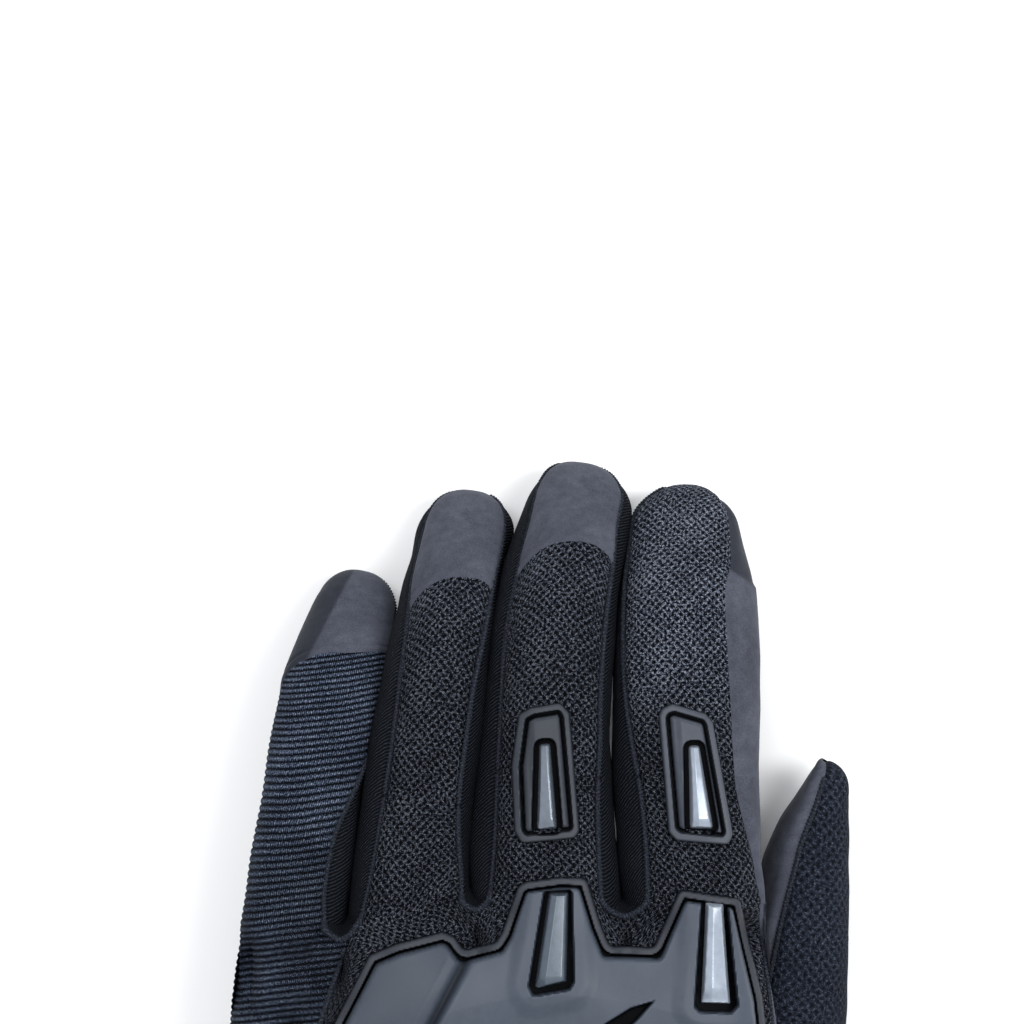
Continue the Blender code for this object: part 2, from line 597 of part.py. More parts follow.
    add("knuckle_guard_ring_facet", "tpr_slate", "hand",
        plate(facet, lambda x, y: seat(x, y) + 2.4, lambda x, y: seat(x, y) + 4.8, 6.0))
    add("knuckle_guard_shell", "tpr_slate", "hand",
        plate(shell_out, lambda x, y: seat(x, y) + 2.4, dome, 6.0))
    for nm, pocket in (("middle", pocket_m), ("index", pocket_i)):
        small = inset(pocket, 0.8)
        add(f"knuckle_inlay_{nm}", "ridge_silver", "hand",
            plate(small, lambda x, y: dome(x, y) + 0.9, lambda x, y: dome(x, y) + 2.2, 4.0))

    # wrist strap ---------------------------------------------------------
    y0, y1 = STRAP_Y
    top = lambda x, y: hand_height(x, y)
    anchor_z = top(STRAP_ANCHOR_X, (y0 + y1) / 2) + 2.6
    carrier("strap", (STRAP_ANCHOR_X, (y0 + y1) / 2, anchor_z))
    add("strap_loop_patch", "hook_loop", "hand",
        plate([(2.0, y0 + 2), (26.0, y0 + 2), (26.0, y1 - 2), (2.0, y1 - 2)],
              lambda x, y: top(x, y) + 0.35, lambda x, y: top(x, y) + 1.25, 6.0))
    add("strap_anchor", "webbing", "hand",
        plate([(STRAP_ANCHOR_X - 5.0, y0), (STRAP_ANCHOR_X - 0.5, y0), (STRAP_ANCHOR_X - 0.5, y1), (STRAP_ANCHOR_X - 5.0, y1)],
              lambda x, y: top(x, y) + 0.4, lambda x, y: top(x, y) + 2.2, 5.0))
    add("strap_band", "webbing", "strap",
        plate([(STRAP_ANCHOR_X + 0.6, y0), (STRAP_END_X - 4.0, y0), (STRAP_END_X, y0 + 6.0), (STRAP_END_X, y1 - 6.0),
               (STRAP_END_X - 4.0, y1), (STRAP_ANCHOR_X + 0.6, y1)],
              lambda x, y: top(x, y) + 2.9, lambda x, y: top(x, y) + 4.6, 6.0))
    add("strap_hook_patch", "hook_loop", "strap",
        plate([(3.0, y0 + 2.6), (25.0, y0 + 2.6), (25.0, y1 - 2.6), (3.0, y1 - 2.6)],
              lambda x, y: top(x, y) + 1.65, lambda x, y: top(x, y) + 2.55, 6.0))
    add("strap_pull_tab", "tpr_dark", "strap",
        plate([(14.0, y0 + 3.5), (27.0, y0 + 6.5), (27.0, y1 - 6.5), (14.0, y1 - 3.5)],
              lambda x, y: top(x, y) + 4.95, lambda x, y: top(x, y) + 6.2, 6.0))


def thumb_down():
    """Unit direction in which the thumb bends."""
    a = math.radians(THUMB_AXIS_TILT)
    h = math.radians(THUMB["head"])
    inward = Vector((-math.cos(h), math.sin(h), 0.0))
    return (inward * math.cos(a) + Vector((0, 0, -1)) * math.sin(a)).normalized()


def thumb_half(tube, th0, th1, start):
    """Half of the closed thumb end, out to the tip."""
    n, nt, wall = 7, 6, WALL
    d = math.degrees(GAP / 2 / 8.0)
    outer, inner = [], []
    for inset_, grid in ((0.0, outer), (wall, inner)):
        end = tube.length - inset_ - 0.35
        for i in range(nt + 1):
            row = []
            for j in range(n + 1):
                th = math.radians(th0 + d + (th1 - th0 - 2 * d) * j / n)
                a = start(th)
                s = math.sin(math.pi / 2 * i / nt)
                t = a + (end - a) * (0.35 * i / nt + 0.65 * s)
                p = tube.point(t, th, inset_)
                row.append(p)
            grid.append(row)
    # keep the two halves 0.3 apart where they close over the tip
    mid = math.radians((th0 + th1) / 2)
    off = tube.N * (math.cos(mid) * GAP * 0.5) + Vector((0, 0, math.sin(mid) * GAP * 0.5))
    outer = [[p + off for p in r] for r in outer]
    inner = [[p + off for p in r] for r in inner]
    return shell(outer, inner)


build()
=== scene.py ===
"""Looks of the left riding glove: sewn fabric panels, leather, moulded guards, strap and studio."""
import math
import bpy
import numpy as np
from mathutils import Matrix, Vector


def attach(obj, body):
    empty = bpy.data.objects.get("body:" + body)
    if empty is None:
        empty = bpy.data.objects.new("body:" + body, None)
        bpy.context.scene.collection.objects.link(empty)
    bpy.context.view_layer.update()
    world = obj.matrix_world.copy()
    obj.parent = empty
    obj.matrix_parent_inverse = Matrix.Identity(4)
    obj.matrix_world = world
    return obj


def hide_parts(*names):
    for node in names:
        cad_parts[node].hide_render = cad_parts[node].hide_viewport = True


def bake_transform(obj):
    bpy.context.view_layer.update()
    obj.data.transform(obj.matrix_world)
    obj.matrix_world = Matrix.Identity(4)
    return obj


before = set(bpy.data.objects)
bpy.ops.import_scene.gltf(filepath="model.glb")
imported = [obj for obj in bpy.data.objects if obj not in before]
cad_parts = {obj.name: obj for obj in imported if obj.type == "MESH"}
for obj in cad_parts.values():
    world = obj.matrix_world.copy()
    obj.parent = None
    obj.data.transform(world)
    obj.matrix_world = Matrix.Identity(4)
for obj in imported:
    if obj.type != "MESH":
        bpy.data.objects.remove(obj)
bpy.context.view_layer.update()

MM = 0.001
SHIFT = np.array((-5.82, 9.115, 0.0))
PI = math.pi
RAD = PI / 180.0

# ------------------------------------------------------------------ glove dimensions (mm), as in the design
FINGERS = {
    "index": dict(root=(34.4, 18.1), head=-0.2, length=85.2, z0=31.0, pip=46.4, cap=76.0, fat=1.0, drop=0.3,
                  left=[(0, 12.0), (15, 12.2), (34, 13.4), (49, 13.6), (63, 13.0), (71, 11.8), (79, 10.5), (83, 9.1)],
                  right=[(0, 14.0), (6, 13.8), (15, 13.1), (25, 12.9), (44, 13.2), (63, 13.1), (71, 11.5), (79, 9.8), (83, 8.6)]),
    "middle": dict(root=(5.4, 19.0), head=4.9, length=88.7, z0=32.0, pip=45.8, cap=74.5, fat=1.02, drop=0.0,
                   left=[(0, 11.4), (6, 11.2), (15, 10.8), (33, 11.4), (52, 12.0), (62, 11.3), (70, 10.6), (77, 9.5), (84, 8.4)],
                   right=[(0, 15.4), (8, 14.6), (16, 13.1), (25, 11.7), (35, 10.9), (44, 9.8), (54, 9.4), (64, 9.8), (72, 10.5), (79, 11.0), (85, 9.8)]),
    "ring": dict(root=(-19.9, 17.1), head=8.2, length=85.6, z0=30.5, pip=41.0, cap=70.0, fat=0.95, drop=0.5,
                 left=[(0, 11.4), (7, 10.4), (15, 9.9), (35, 9.5), (54, 9.8), (63, 9.9), (71, 9.2), (79, 8.5)],
                 right=[(0, 12.4), (10, 11.4), (18, 10.2), (28, 9.8), (37, 9.8), (47, 9.3), (56, 8.9), (66, 8.7), (74, 9.2), (82, 8.8)]),
    "pinky": dict(root=(-45.0, 13.3), head=12.1, length=74.2, z0=28.0, pip=34.5, cap=59.5, fat=0.86, drop=1.5,
                  left=[(0, 8.2), (9, 8.4), (19, 9.2), (28, 9.4), (38, 10.2), (48, 10.5), (58, 9.4), (68, 7.5)],
                  right=[(0, 11.6), (7, 10.6), (13, 9.3), (23, 9.2), (33, 9.9), (42, 9.8), (52, 9.6), (62, 9.0), (71, 7.9)]),
}
FINGER_Z = [(-14, 31.0), (0, 31.0), (15, 30.0), (30, 28.6), (45, 26.4), (55, 23.6), (66, 18.2), (76, 12.0), (82, 8.6), (89, 5.6), (95, 4.0)]
FINGER_B = [(-14, 12.4), (0, 12.0), (20, 11.4), (44, 10.7), (62, 10.0), (76, 9.2), (84, 8.4), (95, 7.6)]
THUMB = dict(root=(52.0, -8.0), head=9.0, length=58.6, ip=27.0,
             left=[(-60, 15.0), (-25, 13.0), (0, 11.4), (13, 10.2), (28, 9.4), (38, 9.0), (45, 7.0), (52, 4.2), (57, 2.6)],
             right=[(-60, 15.0), (-25, 13.5), (0, 12.3), (13, 11.6), (28, 9.6), (38, 8.0), (45, 7.1), (52, 5.9)],
             b=[(-60, 15.5), (-25, 12.6), (0, 11.4), (20, 11.0), (34, 10.0), (46, 8.2), (54, 6.6)],
             z=[(-60, 17.0), (-25, 13.6), (0, 12.2), (30, 12.0), (60, 11.2)])
HAND_ROWS = [(-130, -43.5, 43.5, 24.5, 22.6), (-104, -40.8, 40.6, 24.0, 21.8), (-85, -40.0, 40.0, 23.9, 21.2),
             (-74, -43.0, 42.4, 23.4, 20.9), (-60, -48.5, 46.4, 23.6, 21.0), (-45, -52.6, 49.4, 25.4, 20.2),
             (-30, -54.6, 50.8, 27.9, 18.4), (-15, -54.9, 51.2, 30.0, 16.4), (0, -54.2, 50.6, 30.9, 14.8),
             (14, -52.6, 49.3, 31.0, 14.2), (22, -51.8, 48.9, 30.7, 14.0), (34, -51.5, 48.4, 29.7, 13.6)]
WRIST_Y, CUFF_Y = -78.0, -127.0
N_TUBE, N_HAND = 2.5, 2.4

# where the fingers leave the hand, in plan
FRONT = [(-60, 18.4), (-45, 19.0), (-37.6, 19.8), (-36.4, 19.6), (-35.2, 18.4), (-32.8, 17.0), (-30.6, 18.2), (-29.4, 19.9), (-27.6, 20.8),
         (-20, 22.2), (-12, 25.4), (-10.4, 25.2), (-9.2, 24.0), (-6.9, 22.8), (-4.9, 24.0), (-3.8, 25.5), (-2, 26.2), (6, 26.6),
         (14.4, 25.8), (16.4, 25.0), (18, 23.2), (21.4, 21.6), (24.8, 23.2), (26.2, 24.8), (28, 25.4), (36, 24.2), (60, 23.0)]
# where two neighbouring fingers meet, in plan: x at each y
MEET = {("pinky", "ring"): [(17.0, -31.7), (23.0, -31.2), (31.5, -30.2), (48.0, -28.3), (60.4, -26.3), (74.8, -23.5), (83.4, -21.4), (90.0, -19.6)],
        ("ring", "middle"): [(22.0, -7.4), (31.5, -8.6), (41.2, -8.1), (60.4, -6.0), (74.8, -4.2), (87.3, -1.6), (94.0, 0.6), (98.5, 2.4), (104.0, 4.2)],
        ("middle", "index"): [(20.0, 21.6), (29.6, 20.4), (46.9, 19.2), (54.6, 19.0), (70.0, 19.6), (81.5, 20.6), (93.0, 22.7), (98.0, 23.7), (104.0, 24.4)]}

# seams: share of the half width at which the back panel ends (left, right), along the finger
SEAM_L = {"index": [(0, .70), (14, .72), (26, .76), (44, .92), (60, .95), (86, .96)],
          "middle": [(0, .86), (14, .93), (33, .95), (60, .93), (74, .84), (84, .86), (90, .9)],
          "ring": [(0, .84), (16, .86), (40, .88), (60, .90), (70, .94), (86, .94)],
          "pinky": [(0, .9), (80, .9)]}
SEAM_R = {"middle": [(0, .74), (14, .74), (30, .76), (50, .80), (66, .82), (74, .78), (82, .84), (89, .95)],
          "ring": [(0, .80), (13, .76), (27, .60), (46, .60), (56, .70), (69, .76), (80, .78), (86, .82)],
          "pinky": [(0, .72), (8, .72), (14, .68), (22, .64), (30, .73), (37, .87), (42, .92), (60, .93), (75, .92)]}
# the index finger's leather wraps over its outer side: angle of its upper edge in degrees
INDEX_WRAP = [(-6, 12), (0, 13.5), (4, 15.5), (8.6, 19.9), (13.4, 26.0), (17.8, 36.4), (22.1, 45.8), (25, 50.5), (31.5, 55), (44, 59.6), (52.5, 61.7), (62, 61), (66, 53), (70, 47.5), (76, 41), (80, 35), (84, 12), (86, 0)]
THUMB_SEAM = [(-60, 128), (-20, 122), (0, 117), (21, 113.5), (27, 112), (37, 106), (43, 104), (50.5, 95), (58.6, 84)]


def dense(rows, k=1):
    """Smooth limited-slope curve through the rows, sampled finely, as a function."""
    xs = np.array([r[0] for r in rows], float)
    ys = np.array([r[k] for r in rows], float)
    if len(xs) < 3:
        return lambda x: np.interp(x, xs, ys)
    d = np.diff(ys) / np.diff(xs)
    m = np.empty(len(xs))
    m[0], m[-1] = d[0], d[-1]
    m[1:-1] = np.where(d[:-1] * d[1:] < 0, 0.0, 0.5 * (d[:-1] + d[1:]))
    X = np.arange(xs[0], xs[-1] + 0.1, 0.2)
    i = np.clip(np.searchsorted(xs, X, side="right") - 1, 0, len(xs) - 2)
    h = xs[i + 1] - xs[i]
    s = (X - xs[i]) / h
    m0 = np.where(i == 0, d[i], m[i])
    m1 = np.where(i == len(xs) - 2, d[i], m[i + 1])
    Y = ((2 * s ** 3 - 3 * s ** 2 + 1) * ys[i] + (s ** 3 - 2 * s ** 2 + s) * h * m0
         + (-2 * s ** 3 + 3 * s ** 2) * ys[i + 1] + (s ** 3 - s ** 2) * h * m1)
    return lambda x: np.interp(x, X, Y)


def spow(c, p):
    return np.sign(c) * np.abs(c) ** p


def smooth(x, a, b):
    s = np.clip((x - a) / (b - a), 0.0, 1.0)
    return s * s * (3 - 2 * s)


def frac(x):
    return x - np.floor(x)


def hash2(i, j):
    """Repeatable pseudo-random value per lattice cell, 0 to 1."""
    return frac(np.sin(i * 127.1 + j * 311.7) * 43758.5453)


def noise2(x, y):
    """Value noise, -1 to 1, repeatable."""
    i, j = np.floor(x), np.floor(y)
    u, v = x - i, y - j
    u, v = u * u * (3 - 2 * u), v * v * (3 - 2 * v)
    n = (hash2(i, j) * (1 - u) + hash2(i + 1, j) * u) * (1 - v) + (hash2(i, j + 1) * (1 - u) + hash2(i + 1, j + 1) * u) * v
    return 2 * n - 1


def unit(v):
    return v / np.maximum(np.linalg.norm(v, axis=-1, keepdims=True), 1e-9)


class Tube:
    outer = 0                             # side without a neighbour: -1 little finger, +1 index

    def __init__(self, root, head, length, z, left, right, b, n=N_TUBE, dome=9.0, bend=None):
        self.root, self.head, self.length = root, head * RAD, length
        self.z, self.l, self.r, self.b, self.n, self.dome, self.bend = z, left, right, b, n, dome, bend
        self.u = np.array((math.sin(self.head), math.cos(self.head), 0.0))
        self.N = np.array((math.cos(self.head), -math.sin(self.head), 0.0))

    def c(self, t):
        t = np.asarray(t, float)
        p = np.array((self.root[0], self.root[1], 0.0)) + t[..., None] * self.u
        p = p + np.stack([0 * t, 0 * t, self.z(t)], -1)
        if self.bend:
            dx, dz = self.bend(t)
            p = p + dx[..., None] * self.N + np.stack([0 * t, 0 * t, dz], -1)
        return p

    def frame(self, t):
        T = unit(self.c(t + 0.5) - self.c(t - 0.5))
        return T, unit(np.cross(np.broadcast_to(self.N, T.shape), T))

    def sizes(self, t):
        t1 = self.length - self.dome
        k = np.where(t > t1, np.maximum(0.0, 1 - np.clip((t - t1) / self.dome, 0, 1) ** 2.2) ** (1 / 2.2), 1.0)
        return self.l(t), self.r(t), self.b(t), k

    def P(self, t, th, off=0.0):
        t, th = np.broadcast_arrays(np.asarray(t, float), np.asarray(th, float))
        al, ar, b, k = self.sizes(t)
        T, B = self.frame(np.minimum(t, self.length - 2.0))
        c, s = np.cos(th), np.sin(th)
        a = np.where(c > 0, ar, al)
        kk = np.clip(k, 0.0, 1.0)
        p = self.c(np.minimum(t, self.length))
        p = p + self.N * ((a + off) * kk * spow(c, 2 / self.n))[..., None]
        p = p + B * ((b + off) * kk * spow(s, 2 / self.n))[..., None]
        return p + T * (off * (1 - kk))[..., None]

    def top(self, x, y, sign=1.0, widen=1.0, share=1.0):
        dx, dy = x - self.root[0], y - self.root[1]
        t = dx * self.u[0] + dy * self.u[1]
        o = dx * self.N[0] + dy * self.N[1]
        al, ar, b, k = self.sizes(t)
        a = np.where(o > 0, ar, al) * k / widen
        T, B = self.frame(t)
        lim = np.where(o > 0, 1.0 if self.outer > 0 else share, 1.0 if self.outer < 0 else share)
        q = np.maximum(0.0, 1 - np.clip(np.abs(o) / np.maximum(a, 0.1), 0, lim) ** self.n) ** (1 / self.n)
        away = 30.0 * smooth(np.abs(o) / np.maximum(a, 0.1), 1.35, 2.1)
        return self.z(t) + sign * (b * k * q / np.maximum(0.5, B[..., 2]) - away)


def make_finger(s):
    f = s["length"] / 89.0
    lift = s["z0"] - 31.0
    zt, bt = dense(FINGER_Z), dense(FINGER_B)
    z = lambda t: zt(t / f) + lift * np.maximum(0, 1 - np.maximum(0, t / f) / 80) - s["drop"] * np.maximum(0, t / f) / 80
    return Tube(s["root"], s["head"], s["length"], z, dense(s["left"]), dense(s["right"]), lambda t: bt(t / f) * s["fat"])


TUBES = {k: make_finger(s) for k, s in FINGERS.items()}
TUBES["pinky"].outer, TUBES["index"].outer = -1, 1


def thumb_bend(t):
    inward = np.interp(t, [-60, -52, -42, -30, -18, -8, 0], [31, 25, 16, 8, 2.6, 0.4, 0])
    return -inward, 5.0 * smooth(-t, 34, 56)


THUMB_TUBE = Tube(THUMB["root"], THUMB["head"], THUMB["length"], dense(THUMB["z"]), dense(THUMB["left"]),
                  dense(THUMB["right"]), dense(THUMB["b"]), n=2.3, dome=8.0, bend=thumb_bend)

H_L, H_R, H_C, H_H = (dense(HAND_ROWS, k) for k in (1, 2, 3, 4))
front_x = dense(FRONT)


def hand_z(x, y, sign=1.0):
    xl, xr = H_L(y), H_R(y)
    u = np.clip(np.abs(x - (xl + xr) / 2) / ((xr - xl) / 2), 0, 1)
    return H_C(y) + sign * H_H(y) * np.maximum(0, 1 - u ** N_HAND) ** (1 / N_HAND)


def fingers_z(x, y, sign, widen, share=1.0):
    z = [tb.top(x, y, sign, widen, share) for tb in TUBES.values()]
    return np.max(z, axis=0) if sign > 0 else np.min(z, axis=0)


def hand_P(y, th, off=0.0):
    """Outer skin of the hand: it runs into the four fingers at its front edge."""
    xl, xr, zc, hh = H_L(y), H_R(y), H_C(y), H_H(y)
    c, s = np.cos(th), np.sin(th)
    x = (xl + xr) / 2 + (xr - xl) / 2 * spow(c, 2 / N_HAND)
    z = zc + hh * spow(s, 2 / N_HAND)
    yb = front_x(x)
    sg = np.where(s >= 0, 1.0, -1.0)
    zh = np.where(s >= 0, hand_z(x, yb, 1.0), hand_z(x, yb, -1.0))
    zs = np.where(s >= 0, fingers_z(x, yb, 1.0, 1.45, 0.70), fingers_z(x, yb, -1.0, 1.45, 0.8))
    zf = np.where(s >= 0, fingers_z(x, yb, 1.0, 1.0, 0.80), fingers_z(x, yb, -1.0, 1.0, 0.83))
    w1 = smooth(y, yb - 20, yb)
    w2 = smooth(y, yb - np.where(s >= 0, 7.0, 9.0), yb) ** 1.2
    z = z + w1 * (zs - zh) + w2 * (zf - zs)
    return np.stack([x + off * spow(c, 2 / N_HAND), y + 0 * x, z + off * spow(s, 2 / N_HAND)], -1)


# ------------------------------------------------------------------ mesh helpers
def to_m(p):
    return (np.asarray(p, float) + SHIFT) * MM


def grid_object(name, pts, mat, uv=None, normals=None, closed=False, attr=None):
    r, c = pts.shape[:2]
    me = bpy.data.meshes.new(name)
    co = to_m(pts).reshape(-1, 3)
    idx = np.arange(r * c).reshape(r, c)
    if closed:
        a, b = idx, np.roll(idx, -1, axis=1)
    else:
        a, b = idx[:, :-1], idx[:, 1:]
    quads = np.stack([a[:-1], b[:-1], b[1:], a[1:]], -1).reshape(-1, 4)
    me.vertices.add(len(co))
    me.vertices.foreach_set("co", co.astype(np.float32).ravel())
    me.loops.add(quads.size)
    me.loops.foreach_set("vertex_index", quads.ravel().astype(np.int32))
    me.polygons.add(len(quads))
    me.polygons.foreach_set("loop_start", np.arange(0, quads.size, 4, dtype=np.int32))
    me.update(calc_edges=True)
    if uv is not None:
        layer = me.uv_layers.new(name="UVMap")
        layer.data.foreach_set("uv", uv.reshape(-1, 2)[quads.ravel()].astype(np.float32).ravel())
    me.validate()
    me.shade_smooth()
    if normals is not None:
        me.normals_split_custom_set_from_vertices(unit(normals).reshape(-1, 3).tolist())
    me.materials.append(mat)
    ob = bpy.data.objects.new(name, me)
    bpy.context.scene.collection.objects.link(ob)
    return ob


def normals_of(P):
    """Normals of an extended grid (one ghost row and column on each side); the caller crops them."""
    n = np.cross(np.gradient(P, axis=1), np.gradient(P, axis=0))
    return unit(n)


def lengths(P):
    """Distances across (from the first column) and along, for texture coordinates."""
    du = np.linalg.norm(np.diff(P, axis=1), axis=-1)
    u = np.concatenate([np.zeros((P.shape[0], 1)), np.cumsum(du, 1)], 1)
    dv = np.linalg.norm(np.diff(P, axis=0), axis=-1).mean(1)
    v = np.concatenate([[0], np.cumsum(dv)])[:, None] + 0 * u
    return u, v


def surface(name, fun, t, th, mat, disp=None, flip=False, uv0=(0.0, 0.0), closed=False):
    """A piece of skin: fun(t, th, off) on a grid, moved outwards by disp(P, u, v, width)."""
    def ext(g):
        g = np.concatenate([2 * g[:1] - g[1:2], g, 2 * g[-1:] - g[-2:-1]], 0)
        return np.concatenate([2 * g[:, :1] - g[:, 1:2], g, 2 * g[:, -1:] - g[:, -2:-1]], 1)
    T, H = ext(t), ext(th)
    base = fun(T, H, 0.0)
    u, v = lengths(base)
    u, v = u - u[:, 1:2], v - v[1, 0]
    width = u[:, -2:-1]
    off = disp(base, u, v, width) if disp else 0.0
    P = fun(T, H, off) if disp else base
    n = normals_of(P)
    if flip:
        n = -n
    P, n, u, v, width = P[1:-1, 1:-1], n[1:-1, 1:-1], u[1:-1, 1:-1], v[1:-1, 1:-1], width[1:-1]
    uv = np.stack([(u - width / 2 + uv0[0]), (v + uv0[1])], -1) * 0.1
    if flip:
        P, n, uv = P[:, ::-1], n[:, ::-1], uv[:, ::-1]
    bad = ~np.isfinite(n).all(-1) | (np.linalg.norm(n, axis=-1) < 0.5)
    n[bad] = (0, 0, 1)
    ob = grid_object(name, P, mat, uv, n)
    # painted light: the mesh gets a lift value that paints it paler towards the fingertips, on the index finger and
    # on the thumb
    if mat in (M_MESH, M_THUMB_MESH):
        set_attr(ob, painted_light_gradient, "lift")
    # painted light: the rib knit is painted paler at its outer edge and along the little finger, darker towards the
    # mesh
    if mat is M_RIB:
        set_attr(ob, lambda P: 0.05 + 0.35 * (1 - smooth(P[:, 0], -50, -41)) + 0.7 * smooth(P[:, 1], 22, 55), "lift")
    return ob


def tube_along(name, pts, radius, mat, sides=10, twist=0.0, pitch=0.75, depth=0.16, closed=False, uvscale=0.1):
    """A bead swept along points (mm), with slanting ridges like a whipped edge."""
    pts = np.asarray(pts, float)
    seg = np.linalg.norm(np.diff(pts, axis=0), axis=1)
    s = np.concatenate([[0], np.cumsum(seg)])
    n = max(8, int(s[-1] / 0.16))
    S = np.linspace(0, s[-1], n)
    C = np.stack([np.interp(S, s, pts[:, k]) for k in range(3)], -1)
    for _ in range(3):
        C[1:-1] = 0.25 * C[:-2] + 0.5 * C[1:-1] + 0.25 * C[2:]
    T = unit(np.gradient(C, axis=0))
    up = np.array((0.0, 0.0, 1.0))
    X = unit(np.cross(T, np.broadcast_to(up, T.shape)))
    Y = unit(np.cross(X, T))
    a = np.linspace(0, 2 * PI, sides, endpoint=False)
    ridge = depth * np.cos(2 * PI * S[:, None] / pitch + a[None] * 1.0 + 0.0 * S[:, None])
    rr = radius * np.minimum(1.0, 0.25 + np.minimum(S, s[-1] - S) / (2 * radius))[:, None] + ridge
    P = C[:, None] + X[:, None] * (np.cos(a)[None, :, None] * rr[..., None]) + Y[:, None] * (np.sin(a)[None, :, None] * rr[..., None])
    uv = np.stack([np.broadcast_to(a[None] * radius, rr.shape), np.broadcast_to(S[:, None], rr.shape)], -1) * uvscale
    ob = grid_object(name, P[:, ::-1], mat, uv[:, ::-1], closed=True)
    return ob


# ------------------------------------------------------------------ materials
def new_mat(name):
    m = bpy.data.materials.new(name)
    m.use_nodes = True
    nt = m.node_tree
    p = nt.nodes["Principled BSDF"]
    return m, nt, p


class Nodes:
    """Small helper for building material node trees."""

    def __init__(self, nt):
        self.nt = nt

    def node(self, kind, **props):
        n = self.nt.nodes.new(kind)
        for k, v in props.items():
            setattr(n, k, v)
        return n

    def link(self, a, b):
        self.nt.links.new(a, b)

    def math(self, op, a, b=None, c=None, clamp=False):
        n = self.node("ShaderNodeMath", operation=op, use_clamp=clamp)
        for i, x in enumerate((a, b, c)):
            if x is None:
                continue
            if isinstance(x, (int, float)):
                n.inputs[i].default_value = x
            else:
                self.link(x, n.inputs[i])
        return n.outputs[0]

    def uv_mm(self):
        """Texture coordinates in millimetres: u and v."""
        t = self.node("ShaderNodeUVMap", uv_map="UVMap")
        s = self.node("ShaderNodeVectorMath", operation="SCALE")
        s.inputs["Scale"].default_value = 10.0
        self.link(t.outputs[0], s.inputs[0])
        x = self.node("ShaderNodeSeparateXYZ")
        self.link(s.outputs[0], x.inputs[0])
        return s.outputs[0], x.outputs[0], x.outputs[1]

    def obj_mm(self):
        t = self.node("ShaderNodeTexCoord")
        s = self.node("ShaderNodeVectorMath", operation="SCALE")
        s.inputs["Scale"].default_value = 1000.0
        self.link(t.outputs["Object"], s.inputs[0])
        return s.outputs[0]

    def noise(self, vec, scale, detail=2.0, rough=0.5, dist=0.0):
        n = self.node("ShaderNodeTexNoise")
        n.inputs["Scale"].default_value = scale
        n.inputs["Detail"].default_value = detail
        n.inputs["Roughness"].default_value = rough
        n.inputs["Distortion"].default_value = dist
        self.link(vec, n.inputs["Vector"])
        return n.outputs["Fac"]

    def voronoi(self, vec, scale, rnd=1.0, feature="F1"):
        n = self.node("ShaderNodeTexVoronoi", feature=feature)
        n.inputs["Scale"].default_value = scale
        n.inputs["Randomness"].default_value = rnd
        self.link(vec, n.inputs["Vector"])
        return n.outputs["Distance"]

    def sin01(self, x, period, phase=0.0):
        k = self.math("MULTIPLY_ADD", x, 2 * PI / period, phase)
        return self.math("MULTIPLY_ADD", self.math("SINE", k), 0.5, 0.5)

    def ramp(self, fac, stops):
        r = self.node("ShaderNodeValToRGB")
        e = r.color_ramp.elements
        while len(e) < len(stops):
            e.new(0.5)
        for el, (pos, col) in zip(e, stops):
            el.position = pos
            el.color = (*col, 1.0) if len(col) == 3 else col
        self.link(fac, r.inputs[0])
        return r.outputs[0]

    def bump(self, height, dist, strength=1.0, normal=None):
        b = self.node("ShaderNodeBump")
        b.inputs["Strength"].default_value = strength
        b.inputs["Distance"].default_value = dist
        self.link(height, b.inputs["Height"])
        if normal is not None:
            self.link(normal, b.inputs["Normal"])
        return b.outputs[0]


def sheen(p, weight, rough=0.4, tint=(0.75, 0.82, 1.0)):
    p.inputs["Sheen Weight"].default_value = weight
    p.inputs["Sheen Roughness"].default_value = rough
    p.inputs["Sheen Tint"].default_value = (*tint, 1.0)


def mat_air_mesh(name="air_mesh_knit", k=1.0, cell=1.0, soft=1.0):
    m, nt, p = new_mat(name)
    g = Nodes(nt)
    vec, u, v = g.uv_mm()
    wob = g.math("MULTIPLY_ADD", g.noise(vec, 0.45, 1.0), 0.9, -0.45)
    a = g.math("ADD", g.math("MULTIPLY_ADD", v, 0.92, u), wob)
    b = g.math("SUBTRACT", g.math("MULTIPLY_ADD", v, -0.92, u), wob)
    lat = g.math("MULTIPLY", g.sin01(a, 1.58 * cell), g.sin01(b, 1.58 * cell))
    lat = g.math("POWER", lat, 1.15)
    fleck = g.noise(vec, 2.3 / cell, 1.5, 0.6, 0.5)
    fine = g.noise(vec, 5.4 / cell, 2.0, 0.7, 0.6)
    big = g.noise(vec, 0.07, 2.0)
    tone = g.math("MULTIPLY_ADD", fleck, 0.95, g.math("MULTIPLY_ADD", fine, 1.45, -0.62))
    tone = g.math("ADD", tone, g.math("MULTIPLY", lat, -0.40))
    tone = g.math("ADD", tone, g.math("MULTIPLY_ADD", big, 0.22, -0.11))
    tone = g.math("MULTIPLY_ADD", tone, soft, 0.5 - 0.5 * soft)
    col = g.ramp(tone, [(0.30, (0.0008 * k, 0.0010 * k, 0.0018 * k)), (0.42, (0.0045 * k, 0.0058 * k, 0.0098 * k)),
                        (0.53, (0.0145 * k, 0.0185 * k, 0.0305 * k)), (0.64, (0.072 * k, 0.085 * k, 0.120 * k)),
                        (0.78, (0.33 * k, 0.36 * k, 0.43 * k))])
    # painted light: the lift attribute scales the mesh colour up where the light falls more strongly
    lift = g.node("ShaderNodeAttribute", attribute_name="lift")
    gain = g.node("ShaderNodeVectorMath", operation="SCALE")
    g.link(col, gain.inputs[0])
    g.link(g.math("MULTIPLY_ADD", lift.outputs["Fac"], 0.56, 0.31), gain.inputs["Scale"])
    g.link(gain.outputs[0], p.inputs["Base Color"])
    p.inputs["Roughness"].default_value = 0.85
    p.inputs["Specular IOR Level"].default_value = 0.06
    g.link(g.bump(tone, 0.0004, 0.8), p.inputs["Normal"])
    return m


